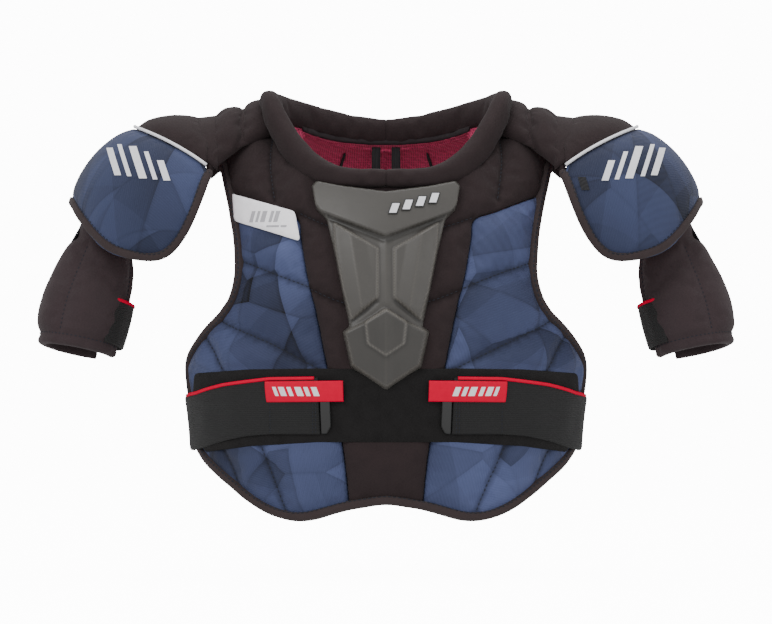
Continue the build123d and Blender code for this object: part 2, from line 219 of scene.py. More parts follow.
def pile(name, colour):
    """Brushed loop: a matt, slightly matted fuzz."""
    s = Shader(name, colour, 1.0, Sheen_Weight=0.04, Sheen_Roughness=0.7, Specular_IOR_Level=0.05)
    where = s.place()
    fuzz = s.noise(where, 700, 4, 0.75) + s.noise(where, 90, 3) * 0.7
    s.paint(s.spread(fuzz, 0.35, 1.7))
    s.relief(s.bump(fuzz, 0.0009))
    return s.material


def moulded(name, colour, rough=0.45):
    """Moulded plastic with a fine grain and rubbed, lighter patches."""
    s = Shader(name, colour, rough, Specular_IOR_Level=0.45)
    where = s.place()
    # The colour also takes the painted highlights and painted shade that a piece carries
    s.paint(s.spread(s.noise(where, 38, 5, 0.6), 0.86, 1.14) * s.tone())
    dull = s.spread(s.noise(where, 85, 4), rough - 0.1, rough + 0.12)
    s.tree.links.new(dull.socket, s.surface.inputs["Roughness"])
    s.relief(s.bump(s.noise(where, 2600, 2), 0.00012, 0.35))
    return s.material


def satin(name, colour, rough=0.5, shine=0.4):
    """Smooth tape or film with a faint weave."""
    s = Shader(name, colour, rough, Specular_IOR_Level=shine)
    where = s.place()
    s.paint(s.spread(s.noise(where, 220, 3), 0.9, 1.08))
    s.relief(s.bump(s.noise(where, 1500, 2), 0.0002, 0.4))
    return s.material


LOOKS = {
    name: make(name, *finish)
    for name, make, *finish in (
        ("jersey_dark", jersey, (0.0245, 0.0170, 0.0178), 0.04),
        ("jersey_arm", jersey, (0.037, 0.0262, 0.0285)),
        ("back_fabric", jersey, (0.026, 0.022, 0.024)),
        ("binding_dark", jersey, (0.038, 0.028, 0.0285)),
        ("blue_print", shard_print, (0.047, 0.059, 0.126)),
        ("cap_print", shard_print, (0.032, 0.041, 0.088)),
        ("liner_red", mesh_lining, (0.50, 0.048, 0.125)),
        ("plate_grey", moulded, (0.056, 0.052, 0.047), 0.4),
        ("loop_black", pile, (0.008, 0.0075, 0.0075)),
        ("elastic_black", webbing, (0.0118, 0.0118, 0.012), 1.7),
        ("webbing_black", webbing, (0.016, 0.016, 0.018), 1.4),
        ("trim_red", satin, (0.62, 0.0, 0.034), 0.8, 0.05),
        ("trim_white", satin, (0.78, 0.78, 0.82)),
        ("label_pale", satin, (0.98, 0.96, 1.0), 0.4),
        ("shell_plastic", moulded, (0.03, 0.03, 0.032)),
        ("hook_black", moulded, (0.018, 0.018, 0.018), 0.5),
        ("thread_dark", satin, (0.008, 0.010, 0.018), 0.7),
        ("thread_red", satin, (0.55, 0.012, 0.03), 0.6),
        ("mark_grey", satin, (0.42, 0.41, 0.44)),
    )
}


# ==== flat geometry ===========================================================================================
def lengths_along(line):
    """Distance from the line's start to each of its points."""
    return np.concatenate([[0], np.cumsum(np.linalg.norm(np.diff(line, axis=0), axis=1))])


def resample(line, step, closed=False):
    """Points about step apart along a line."""
    line = np.asarray(line, float)
    if closed:
        line = np.vstack([line, line[:1]])
    along = lengths_along(line)
    at = np.linspace(0, along[-1], max(2, round(along[-1] / step) + 1))
    dense = np.stack([np.interp(at, along, line[:, k]) for k in range(line.shape[1])], axis=1)
    return dense[:-1] if closed else dense


def between(t, start, end, first, second):
    """From first, at t = start, to second, at t = end."""
    return (end - t) / (end - start) * first + (t - start) / (end - start) * second


def curve(points):
    """A smooth line through the points (centripetal Catmull-Rom)."""
    p = np.asarray(points, float)
    p = np.vstack([2 * p[0] - p[1], p, 2 * p[-1] - p[-2]])
    out = []
    for a, b, c, d in zip(p, p[1:], p[2:], p[3:]):
        t1, t2, t3 = np.cumsum([np.linalg.norm(step) ** 0.5 for step in (b - a, c - b, d - c)])
        t = np.linspace(t1, t2, 12, endpoint=False)[:, None]
        ab, bc, cd = between(t, 0, t1, a, b), between(t, t1, t2, b, c), between(t, t2, t3, c, d)
        out.append(between(t, t1, t2, between(t, 0, t2, ab, bc), between(t, t1, t3, bc, cd)))
    return np.vstack([*out, p[-2]])


def reach_of(points, line, closed=False):
    """Each point's distance from a line."""
    line = np.asarray(line, float)
    ends = np.vstack([line[1:], line[:1]]) if closed else line[1:]
    best = np.full(len(points), 1e9)
    for a, b in zip(line, ends):
        d = b - a
        t = np.clip(((points - a) @ d) / max(d @ d, 1e-12), 0, 1)
        best = np.minimum(best, np.linalg.norm(points - a - t[:, None] * d, axis=1))
    return best


def inside(points, outline):
    """Which points lie inside a closed outline."""
    x, y = points[:, 0], points[:, 1]
    result = np.zeros(len(points), bool)
    for (x0, y0), (x1, y1) in zip(outline, np.roll(outline, -1, axis=0)):
        with np.errstate(divide="ignore", invalid="ignore"):
            at = (x1 - x0) * (y - y0) / (y1 - y0) + x0
        result ^= ((y0 > y) != (y1 > y)) & (x < at)
    return result


def bell(distance, width):
    """1 at distance 0, falling away to nothing over a few widths."""
    return np.exp(-((distance / width) ** 2))


def mirror_line(line):
    return np.asarray(line, float) * (-1, 1)


def to_lines(points, lines):
    """Each point's distance from the nearest of several lines."""
    return np.min([reach_of(points, line) for line in lines], axis=0)


def triangulate(outline, seams=(), step=4.5):
    """Triangles about step wide that fill an outline and follow the seams: points, faces, rim and seams."""
    outline = resample(outline, step, closed=True)
    lines = []
    for seam in seams:
        dense = resample(seam, step * 0.9)
        keep = inside(dense, outline) & (reach_of(dense, outline, True) > 0.45 * step)
        if keep.sum() > 1:
            lines.append(dense[keep])
    low, high = outline.min(0), outline.max(0)
    grid = np.array([
        (x + (step / 2 if i % 2 else 0), y)
        for i, y in enumerate(np.arange(low[1], high[1], step * 0.87))
        for x in np.arange(low[0], high[0], step)
    ])
    grid = grid[inside(grid, outline)]
    grid = grid[reach_of(grid, outline, True) > 0.6 * step]
    for line in lines:
        grid = grid[reach_of(grid, line) > 0.55 * step]
    edges = [(i, (i + 1) % len(outline)) for i in range(len(outline))]
    count = len(outline)
    for line in lines:
        edges += [(count + i, count + i + 1) for i in range(len(line) - 1)]
        count += len(line)
    flat = np.vstack([outline, *lines, grid])
    made = delaunay_2d_cdt([Vector(p) for p in flat], edges, [], 0, 1e-5)
    verts = np.array([tuple(v) for v in made[0]])
    faces = np.array([f for f in made[2] if len(f) == 3])
    return verts, faces[inside(verts[faces].mean(1), outline)], outline, lines


# ==== making pieces ===========================================================================================
def unit(vectors):
    return vectors / np.maximum(np.linalg.norm(vectors, axis=-1, keepdims=True), 1e-9)


def squared(wave, power):
    """A sine or cosine, squared off so that a circle becomes a rounded square."""
    return np.sign(wave) * np.abs(wave) ** power


def stacked(*parts):
    """Coordinates that differ in shape, broadcast and put together."""
    return np.stack(np.broadcast_arrays(*parts), axis=-1)


def new_piece(name, points, faces, look, on, cloth=None, sign=1, tone=None, fine=0, smooth=True, nodes=(), fill=None):
    """A mesh object from points in millimetres, mirrored if sign is -1, and subdivided fine times.
    It rides on a body when on names one, and otherwise stays where it is. It replaces the nodes. fill is not used."""
    points = np.asarray(points, float)
    if sign < 0:
        points, faces = points * (-1, 1, 1), [tuple(reversed(face)) for face in faces]
    mesh = bpy.data.meshes.new(name)
    mesh.from_pydata((points * MM).tolist(), [], [[int(i) for i in face] for face in faces])
    mesh.update()
    mesh.materials.append(LOOKS[look])
    cloth = points if cloth is None else np.asarray(cloth, float)
    if cloth.shape[1] == 2:
        cloth = np.column_stack([cloth, np.zeros(len(cloth))])
    mesh.attributes.new("cloth", "FLOAT_VECTOR", "POINT").data.foreach_set("vector", cloth.astype(np.float32).ravel())
    if tone is not None:
        mesh.attributes.new("tone", "FLOAT", "POINT").data.foreach_set("value", np.asarray(tone, np.float32))
    if smooth:
        mesh.shade_smooth()
    piece = bpy.data.objects.new(name, mesh)
    bpy.context.scene.collection.objects.link(piece)
    if fine:
        piece.modifiers.new("refine", "SUBSURF").levels = fine
        graph = bpy.context.evaluated_depsgraph_get()
        mesh = bpy.data.meshes.new_from_object(piece.evaluated_get(graph))
        piece.modifiers.clear()
        piece.data = mesh
    if isinstance(on, str):
        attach(piece, on)
    else:
        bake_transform(piece)
    if nodes:
        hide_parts(*nodes)
    return piece


def rim_of(faces):
    """The directed edges that only one face uses."""
    edges = {(a, b) for face in faces for a, b in zip(face, (*face[1:], face[0]))}
    return [edge for edge in edges if edge[::-1] not in edges]


def closed(outer, inner, faces):
    """One solid skin from an outer sheet, an inner one with the same faces, and a wall around the edge."""
    count = len(outer)
    inner_faces = [tuple(count + i for i in reversed(face)) for face in faces]
    walls = [(b, a, count + a, count + b) for a, b in rim_of(faces)]
    return np.vstack([outer, inner]), [tuple(f) for f in faces] + inner_faces + walls


def used(points, faces, *more):
    """Only the points that the faces use, with the faces renumbered."""
    keep = np.unique(np.concatenate([np.asarray(f) for f in faces]))
    place = {int(old): new for new, old in enumerate(keep)}
    renumbered = [tuple(place[int(i)] for i in face) for face in faces]
    return (points[keep], renumbered, *[m[keep] for m in more])


def chosen(faces, which):
    return [face for face, yes in zip(faces, which) if yes]


def grid_faces(rows, columns, wrap=False):
    return [
        (r * columns + c, r * columns + (c + 1) % columns, (r + 1) * columns + (c + 1) % columns, (r + 1) * columns + c)
        for r in range(rows - 1)
        for c in range(columns if wrap else columns - 1)
    ]


def tube_faces(rows, around):
    last = (rows - 1) * around
    return [*grid_faces(rows, around, wrap=True), tuple(reversed(range(around))), tuple(range(last, last + around))]


def grid_piece(name, outer, inner, cloth, look, on, sign=1, fine=1, **roles):
    """A closed slab between two grids of points."""
    points, faces = closed(outer.reshape(-1, 3), inner.reshape(-1, 3), grid_faces(*outer.shape[:2]))
    cloth = np.vstack([cloth.reshape(-1, 2)] * 2)
    return new_piece(name, points, faces, look, on, cloth, sign, fine=fine, **roles)


def smooth_noise(points, scale, seed):
    """Soft noise from -1 to 1 at each point; scale in millimetres."""
    return np.array([noise.noise(Vector(p / scale) + Vector((seed, 2 * seed, 0))) for p in points])


def directions(points, faces):
    """The outward direction at each point."""
    tri = np.array([face[:3] for face in faces])
    flat = np.cross(points[tri[:, 1]] - points[tri[:, 0]], points[tri[:, 2]] - points[tri[:, 0]])
    total = np.zeros_like(points)
    for k in range(3):
        np.add.at(total, tri[:, k], flat)
    return unit(total)


SETTLING_FRAMES = 20
# Blender's cloth works on things about a metre across, so a millimetre becomes this while it settles
SETTLING_UNIT = 0.01


def inflate(points, faces, held, pressure, slack, limit, stiff=15.0):
    """Lets a sheet settle as cloth, a little larger than its outline and pressed out from behind.
    held says how firmly each point is sewn down, from 0 to 1. No point moves further than limit."""
    scene = bpy.context.scene
    start = points + directions(points, faces) * (smooth_noise(points, 14.0, 3.1) * 0.5 * (1 - held))[:, None]
    mesh = bpy.data.meshes.new("settling")
    mesh.from_pydata((start * SETTLING_UNIT).tolist(), [], [[int(i) for i in face] for face in faces])
    mesh.update()
    sheet = bpy.data.objects.new("settling", mesh)
    scene.collection.objects.link(sheet)
    group = sheet.vertex_groups.new(name="held")
    for index in np.nonzero(held > 0.01)[0]:
        group.add([int(index)], float(held[index]), "REPLACE")
    modifier = sheet.modifiers.new("cloth", "CLOTH")
    cloth = modifier.settings
    cloth.quality = 5
    cloth.mass = 0.3
    cloth.air_damping = 3
    cloth.tension_stiffness = stiff
    cloth.compression_stiffness = stiff
    cloth.shear_stiffness = stiff / 2
    cloth.bending_stiffness = 0.4
    cloth.vertex_group_mass = "held"
    cloth.use_pressure = True
    cloth.uniform_pressure_force = pressure
    cloth.shrink_min = -slack
    cloth.effector_weights.gravity = 0
    modifier.point_cache.frame_start = 1
    modifier.point_cache.frame_end = SETTLING_FRAMES
    modifier.collision_settings.use_collision = False
    for frame_number in range(1, SETTLING_FRAMES + 1):
        scene.frame_set(frame_number)
    graph = bpy.context.evaluated_depsgraph_get()
    moved = np.zeros(len(points) * 3)
    sheet.evaluated_get(graph).data.vertices.foreach_get("co", moved)
    bpy.data.objects.remove(sheet)
    scene.frame_set(1)
    shift = moved.reshape(-1, 3) / SETTLING_UNIT - points
    size = np.maximum(np.linalg.norm(shift, axis=1, keepdims=True), 1e-9)
    return points + shift * (1 - held[:, None]) * limit * np.tanh(size / limit) / size


def settled(points, faces, held, limit, crease, scale, seed, squash=1):
    """A limp sheet settled as cloth, with fine creases where it isn't sewn down."""
    points = inflate(points, faces, held, 2.5, 0.05, limit, 10)
    creases = smooth_noise(points * squash, scale, seed) * crease * (1 - held)
    return points + directions(points, faces) * creases[:, None]


def tube(path, outward, half_wide, half_thick, around, square):
    """A rounded strip swept along a path; outward is the direction of its thickness at each point."""
    along = unit(np.gradient(path, axis=0))
    side = unit(np.cross(along, outward))
    up = np.cross(side, along)
    turn = np.arange(around) * 2 * math.pi / around
    across, height = squared(np.cos(turn), 2 / square), squared(np.sin(turn), 2 / square)
    wide, thick = (np.broadcast_to(half, len(path))[:, None] for half in (half_wide, half_thick))
    points = path[:, None] + side[:, None] * (across * wide)[..., None] + up[:, None] * (height * thick)[..., None]
    girth = turn * (half_wide if np.isscalar(half_wide) else 4)
    cloth = stacked(lengths_along(path)[:, None], girth).reshape(-1, 2)
    return points.reshape(-1, 3), tube_faces(len(path), around), cloth


def tree_of(piece):
    return BVHTree.FromPolygons([v.co / MM for v in piece.data.vertices], [p.vertices for p in piece.data.polygons])


STITCH_HALF_WIDTH = 0.6
STITCH_SUNK = 0.45


def dashes(name, lines, surfaces, on, stitch=2.8, gap=1.6, sign=1, look="thread_dark"):
    """Stitches along lines of (point, outward) that lie near the surfaces, each a short bead sunk into the cloth."""
    trees = [tree_of(surface) for surface in surfaces]
    points, faces = [], []
    for path, outward in lines:
        path, outward = path * (sign, 1, 1), outward * (sign, 1, 1)
        at = lengths_along(path)
        for start in np.arange(gap, at[-1] - stitch, stitch + gap):
            ends = []
            for place in (start, start + stitch):
                p = Vector([np.interp(place, at, path[:, k]) for k in range(3)])
                out = Vector([np.interp(place, at, outward[:, k]) for k in range(3)]).normalized()
                hits = [tree.ray_cast(p + out * 14, -out, 30) for tree in trees]
                hits = [hit for hit in hits if hit[0] is not None]
                if hits:
                    ends.append((min(hits, key=lambda h: h[3])[0], out))
            if len(ends) < 2 or (ends[0][0] - ends[1][0]).length > 2.5 * stitch:
                continue
            (a, out), (b, _) = ends
            side = (b - a).cross(out).normalized() * STITCH_HALF_WIDTH
            sunk, ridge = out * STITCH_SUNK, out * (STITCH_SUNK + 0.35)
            for p in (a, a * 0.7 + b * 0.3, a * 0.3 + b * 0.7, b):
                top = sunk * 0.2 if p in (a, b) else ridge
                points += [p - side - sunk, p + top, p + side - sunk]
            for q in range(len(points) - 12, len(points) - 3, 3):
                faces += [(q, q + 1, q + 4, q + 3), (q + 1, q + 2, q + 5, q + 4)]
    return new_piece(name, np.array([tuple(p) for p in points]), faces, look, on)


# ==== the vest's surface ======================================================================================
class Spline:
    """A natural cubic spline through rows of values."""

    def __init__(self, at, values):
        self.at, self.values = np.asarray(at, float), np.asarray(values, float)
        h = np.diff(self.at)
        n = len(self.at)
        system, right = np.eye(n), np.zeros_like(self.values)
        for i in range(1, n - 1):
            system[i, i - 1:i + 2] = h[i - 1], 2 * (h[i - 1] + h[i]), h[i]
            slope_after = (self.values[i + 1] - self.values[i]) / h[i]
            slope_before = (self.values[i] - self.values[i - 1]) / h[i - 1]
            right[i] = 6 * (slope_after - slope_before)
        self.bend = np.linalg.solve(system, right)

    def __call__(self, t):
        t = np.asarray(t, float)
        i = np.clip(np.searchsorted(self.at, t) - 1, 0, len(self.at) - 2)
        h = (self.at[i + 1] - self.at[i])[..., None]
        a = (self.at[i + 1] - t)[..., None] / h
        b = 1 - a
        bent = ((a**3 - a) * self.bend[i] + (b**3 - b) * self.bend[i + 1]) * h * h / 6
        return a * self.values[i] + b * self.values[i + 1] + bent


# At each height: half the width, half the depth, the middle's y, and how far a raised point leans upwards
TORSO = Spline(
    (-12, 40, 92, 130, 180, 240, 285, 315, 338, 352, 362),
    (
        (168, 104, 0, 0.0), (172, 112, -1, 0.0), (174.5, 117, -2, 0.0), (180, 119, -1.5, 0.0),
        (174, 119, 0, 0.0), (166, 114, 4, 0.1), (163, 102, 9, 0.25), (161, 86, 14, 0.45),
        (156, 63, 19, 0.7), (140, 38, 22, 0.9), (110, 18, 23, 1.0),
    ),
)
# The flat map's millimetres around for one radian, and the furthest angle that a panel reaches
GIRTH = 170.0
WIDEST = math.radians(81)
# The neck hole from above is half an ellipse on the front and half on the back
NECK_HALF, NECK_DEEP, NECK_MIDDLE = 97, 74, -4
SHOULDER_TOP = 351.0


class Vest:
    """The outer face of the vest's front (facing 1) or back (-1), and a flat map of it: around, and up."""

    def __init__(self, facing):
        self.facing = facing
        self.z = np.arange(-12.0, 361.0, 1.0)
        half, deep, middle, _ = TORSO(self.z).T
        self.up = lengths_along(np.stack([half * 0.77, middle - deep * 0.64, self.z], axis=1))

    def flat(self, line):
        """Front-view points (x, z) on the map."""
        line = np.asarray(line, float)
        half = TORSO(line[:, 1])[:, 0]
        angle = np.arcsin(np.clip(line[:, 0] / half, -math.sin(WIDEST), math.sin(WIDEST)))
        return np.column_stack([angle * GIRTH, np.interp(line[:, 1], self.z, self.up)])

    def flat_beyond(self, line):
        """Like flat, for lines that reach past the panels."""
        x, z = np.asarray(line, float).T
        share = x / TORSO(np.clip(z, -12, 360))[:, 0]
        angle = np.arcsin(np.clip(share, -1, 1)) + np.sign(x) * np.maximum(np.abs(share) - 1, 0)
        return np.column_stack([angle * GIRTH, np.interp(z, self.z, self.up) + np.maximum(z - 360, 0)])

    def at(self, angle, z, proud):
        half, deep, middle, lean = np.moveaxis(TORSO(z), -1, 0)
        grown = proud * np.sqrt(np.maximum(1 - 0.8 * lean, 0.05))
        y = middle - self.facing * (deep + grown) * np.cos(angle)
        return stacked((half + grown) * np.sin(angle), y, z + proud * lean)

    def solid(self, flat, proud):
        """Points on the map, raised by proud, in space."""
        flat = np.asarray(flat, float)
        return self.at(flat[:, 0] / GIRTH, np.interp(flat[:, 1], self.up, self.z), proud)

    def path(self, flat, proud=0.0):
        """A line on the map as (points, outward directions) in space."""
        points = self.solid(flat, proud)
        return points, unit(self.solid(flat, np.asarray(proud) + 1.0) - points)

    def turned(self, faces):
        """Faces of a map triangulation, turned so that they look outwards."""
        return [tuple(f) if self.facing > 0 else tuple(reversed(f)) for f in faces]

    def edge(self, outline, step):
        """A closed front-view outline on the map."""
        return self.flat(resample(outline, step, True))

    def seams(self, lines, step=3):
        return [self.flat(resample(curve(line), step)) for line in lines]

    def neck_height(self, x, y):
        """The height at which an upright line through (x, y) meets the vest."""
        half, deep, middle, _ = TORSO(self.z).T
        reach = middle - self.facing * deep * np.sqrt(np.maximum(1 - (x / half) ** 2, 0))
        gap = (reach - y) * self.facing
        crossing = np.nonzero((gap[:-1] < 0) & (gap[1:] >= 0))[0]
        return self.z[crossing[-1]] if len(crossing) else SHOULDER_TOP

    def panel(self, side):
        """A panel's outline on the map: up its side from the hem, over the shoulder, around the neck hole."""
        neck = []
        for turn in np.radians(np.linspace(84, 0, 26)):
            x, y = NECK_HALF * math.sin(turn), NECK_MIDDLE - self.facing * NECK_DEEP * math.cos(turn)
            neck.append((x, self.neck_height(x, y)))
        return self.edge(both_halves(np.vstack([curve(side), [(140, 345), (120, 350)], neck])), 3.0)


FRONT, BACK = Vest(1), Vest(-1)
PANEL_DEPTH = 11.5
# Padding: how far it stands proud of the vest's surface between its seams, and how soon it gets there
CROWN, CROWN_REACH, RIM_VALLEY = 2.0, 9.0, -2.2


def inset(flat, distance):
    """An open line on the map moved to its left by distance."""
    along = unit(np.gradient(flat, axis=0))
    moved = flat + np.column_stack([-along[:, 1], along[:, 0]]) * distance
    for _ in range(3):
        moved[1:-1] = (moved[:-2] + 2 * moved[1:-1] + moved[2:]) / 4
    return moved


def both_halves(half):
    return np.vstack([half, mirror_line(half[::-1])[:-1]])


def rise(distance, valley, crown, reach):
    """Height of padding at a distance from its nearest seam."""
    return valley + (crown - valley) * (1 - np.exp(-((np.maximum(distance, 0) / reach) ** 1.5)))


def sewn(distance, margin):
    """How firmly the cloth is held at a distance from a seam: fully near it, and not at all further off."""
    return np.clip(margin - distance / 4, 0, 1)


CHEST_EDGE = (
    (0, 16), (36, 10), (78, 0), (108, 8), (142, 33), (163, 53), (174, 75), (179.0, 110), (178.0, 142),
    (160, 171), (142, 190), (134, 215), (135, 250), (139, 275), (145, 305), (151, 335),
)
BACK_EDGE = (
    (0, 38), (70, 32), (130, 40), (158, 54), (172, 80), (175.5, 115), (172, 148),
    (154, 178), (138, 205), (133, 240), (139, 290), (151, 335),
)
# The dark middle and yoke meet the blue wings along this line
COLOUR_LINE = (
    (31, -8), (39, 65), (54, 140), (64.5, 190), (71, 215), (77, 250), (79.5, 266), (98, 273), (132, 286), (150, 292),
)
PLATE_EDGE = both_halves(np.array([
    (0, 115), (31, 136), (38, 167), (32, 172), (38, 200), (45, 235), (52, 265), (61, 274), (65.5, 295), (61, 300),
    (40, 296), (0, 290.5),
]))
FIELD_EDGE = both_halves(np.array([
    (0, 70), (60, 70), (120, 66), (160, 60), (169, 74), (171.5, 100), (170, 130), (120, 134), (60, 135), (0, 134),
]))
LABEL_EDGE = np.array([(-135.5, 289), (-79.5, 273.0), (-74.5, 246.0), (-133.5, 264.5)])
QUILTING = (
    ((-101, 348), (-104, 320), (-100, 283)),
    ((101, 348), (104, 320), (100, 284)),
    ((-78, 272), (-50, 260), (0, 250), (50, 259), (78, 268)),
    ((-69, 205), (-40, 193), (0, 186), (40, 194), (67, 204)),
    ((-136, 232), (-128, 229), (-100, 218), (-68, 206)),
    ((-150, 178), (-144, 174), (-100, 155), (-52, 130)),
    ((-166, 166), (-158, 156), (-146, 132)),
    ((-113, 70), (-103, 45), (-86, 0)),
    ((136, 230), (121, 225), (98, 217), (66, 204)),
    ((150, 178), (142, 173), (100, 153), (52, 130)),
    ((167, 168), (159, 160), (142, 127)),
    ((108, 70), (90, 32), (77, 0)),
    ((-150, 70), (-138, 48), (-128, 20)),
    ((150, 70), (139, 48), (129, 20)),
)
BACK_QUILTING = (
    ((-60, 350), (-63, 290), (-56, 200), (-50, 120), (-44, 34)),
    ((60, 350), (63, 290), (56, 200), (50, 120), (44, 34)),
    *(
        ((side * out, z_out), (side * in_, z_in))
        for out, z_out, in_, z_in in ((140, 300, 62, 280), (133, 225, 58, 215), (172, 150, 53, 150), (172, 90, 47, 88))
        for side in (-1, 1)
    ),
)
SPINE_EDGE = both_halves(np.array([(0, 300), (44, 300), (51, 285), (44, 235), (37, 160), (33, 100), (24, 68), (0, 66)]))


def quilted_sheet(vest, side, seams, quilting, zones, fade, step, valley, slack, limit):
    """A panel's cover, settled as cloth between its seams. It lies low under the zones, and for fade around them."""
    flat, faces, rim, lines = triangulate(vest.panel(side), seams + quilting, step)
    to_seam, to_rim = to_lines(flat, lines), reach_of(flat, rim, True)
    height = np.minimum(
        rise(to_seam, valley, CROWN, CROWN_REACH), rise(to_rim - 6, RIM_VALLEY, CROWN, CROWN_REACH)
    )
    covered = np.zeros(len(flat))
    for zone in zones:
        edge = vest.edge(zone, 3)
        away = np.where(inside(flat, edge), 0, reach_of(flat, edge, True))
        covered = np.maximum(covered, np.clip(1 - away / fade, 0, 1))
    height = height * (1 - covered) + np.minimum(height, -0.4) * covered
    faces = vest.turned(faces)
    held = np.max([sewn(to_seam, 1.4), sewn(to_rim, 3.4), np.clip(covered * 2, 0, 1)], axis=0)
    return flat, inflate(vest.solid(flat, height), faces, held, 3.5, slack, limit), faces


def panel_piece(name, vest, flat, points, faces, seams, look, on, nodes):
    """A closed, padded piece from the outer faces of one colour, with painted shade along its seams."""
    points, faces, flat = used(points, faces, flat)
    skin, skin_faces = closed(points, vest.solid(flat, -PANEL_DEPTH), faces)
    cloth = np.vstack([flat, flat]) + ((0, 0) if vest is FRONT else (700, 0))
    # Painted shade: the colour is darker in a narrow band along each quilting seam, where the padding dips
    tone = np.tile(-0.5 * bell(to_lines(flat, seams), 1.5), 2)
    return new_piece(name, skin, skin_faces, look, on, cloth, tone=tone, fine=1, nodes=nodes, fill=0.7)


def edge_tape(name, vest, edge, top, seed, on, node):
    """Folded tape around a panel's edge, a little uneven, and the line of its stitches."""
    half = resample(curve(edge), 4.0)
    half = half[half[:, 1] < top]
    flat = vest.flat(resample(np.vstack([mirror_line(half[::-1]), half[1:]]), 4.5))
    centre, outward = vest.path(inset(flat, 3.8), -6.6)
    wander = smooth_noise(centre, 16, seed)
    points, faces, cloth = tube(centre, outward, 4.4 + 0.3 * wander, 8.4 + 0.4 * wander, 16, 3.2)
    faces = vest.turned(faces)
    piece = new_piece(name, points, faces, "binding_dark", on, cloth, fine=1, nodes=[node], fill=0.8)
    return piece, vest.path(inset(flat, 7.0))


# ---- chest, yoke and back panels -----------------------------------------------------------------------------
YOKE_BEND = ("back", "chest", (0, -0.080, 0.312), (0, -0.094, 0.276))

colour_seams = FRONT.seams((COLOUR_LINE, mirror_line(COLOUR_LINE)))
quilting = FRONT.seams(QUILTING)
flat, points, faces = quilted_sheet(
    FRONT, CHEST_EDGE, colour_seams, quilting, (PLATE_EDGE, FIELD_EDGE, LABEL_EDGE), 7, 4.6, -3.2, 0.035, 3.6
)
middle = flat[np.array(faces)].mean(1)
dark_half = np.vstack([[(0, -8)], curve(COLOUR_LINE), [(190, 300), (190, 420), (0, 420)]])
dark = inside(middle, FRONT.flat_beyond(both_halves(dark_half)))
front_panels = [
    panel_piece(name, FRONT, flat, points, chosen(faces, which), quilting, look, YOKE_BEND, nodes)
    for name, which, look, nodes in (
        ("cover_dark", dark, "jersey_dark", ("chest_centre_panel", "front_yoke_left", "front_yoke_right")),
        ("cover_wing_left", ~dark & (middle[:, 0] > 0), "blue_print", ("chest_wing_left",)),
        ("cover_wing_right", ~dark & (middle[:, 0] < 0), "blue_print", ("chest_wing_right",)),
    )
]
tape, stitch_line = edge_tape("chest_edge_tape", FRONT, CHEST_EDGE, 330, 1.7, YOKE_BEND, "chest_binding")
dashes("chest_quilt_stitches", [FRONT.path(line) for line in quilting + colour_seams], front_panels, YOKE_BEND)
dashes("chest_tape_stitches", [stitch_line], [tape, *front_panels], YOKE_BEND)

quilting = BACK.seams(BACK_QUILTING)
sheet = quilted_sheet(BACK, BACK_EDGE, [], quilting, (SPINE_EDGE,), 0.001, 5.2, -3.0, 0.03, 3.2)
back_cover = panel_piece("cover_back", BACK, *sheet, quilting, "back_fabric", "back", ("back_panel",))
dashes("back_quilt_stitches", [BACK.path(line) for line in quilting], [back_cover], "back")
tape, stitch_line = edge_tape("back_edge_tape", BACK, BACK_EDGE, 337, 4.4, "back", "back_binding")
dashes("back_tape_stitches", [stitch_line], [tape, back_cover], "back")


def raised_patch(name, vest, outline, seams, low, valley, crown, reach, step, look, on, node, fill=None):
    """A padded or moulded patch on the vest, crowned between its seams and rolled over at its edge."""
    flat, faces, rim, lines = triangulate(vest.edge(outline, step), vest.seams(seams, step), step)
    height = low + (crown - low) * (1 - bell(reach_of(flat, rim, True), reach))
    if lines:
        height = np.minimum(height, rise(to_lines(flat, lines), valley, crown, reach))
    skin, skin_faces = closed(vest.solid(flat, height), vest.solid(flat, low - 0.2), vest.turned(faces))
    new_piece(name, skin, skin_faces, look, on, np.vstack([flat, flat]), fine=1, nodes=[node], fill=fill)


spine_seams = [((-60, z - 4), (0, z + 5), (60, z - 4)) for z in range(98, 259, 32)]
raised_patch(
    "spine_pad", BACK, SPINE_EDGE, spine_seams, 0.2, 4.0, 11.0, 6.0, 3.2, "back_fabric", "back", "spine_guard", 0.8
)

# ---- lining -------------------------------------------------------------------------------------------------
LINING_DEPTH = 13.4

# Ridges pressed into the lining are (start, end, pitch, height)
for name, vest, edge, on, node, ridges in (
    ("lining_back", BACK, BACK_EDGE, "back", "back_liner",
     [((18, 310), (70, 335), 9, 0.9), ((-75, 318), (-25, 300), 14, 0.5), ((-30, 290), (40, 300), 16, 0.5)]),
    ("lining_chest", FRONT, CHEST_EDGE, YOKE_BEND, "chest_liner", [((-90, 60), (90, 60), 20, 0.5)]),
):
    flat, faces, _, _ = triangulate(vest.panel(edge), [], 6.0)
    faces = [tuple(reversed(f)) for f in vest.turned(faces)]
    height = np.full(len(flat), -LINING_DEPTH)
    for start, end, pitch, depth in ridges:
        line = vest.flat([start, end])
        along = unit(line[1] - line[0])
        off = (flat - line[0]) @ np.array([-along[1], along[0]])
        far = reach_of(flat, line)
        height += depth * np.cos(off * 2 * math.pi / pitch) * bell(far, 1.6 * pitch)
    points = vest.solid(flat, height)
    piece = new_piece(name, points, faces, "liner_red", on, flat, fine=1, nodes=[node])
    a, b, c = points[np.array(faces).T]
    area = float(np.linalg.norm(np.cross(b - a, c - a), axis=1).sum() / 2) * MM * MM
    size = (np.ptp(flat[:, 0]) * MM, np.ptp(flat[:, 1]) * MM)

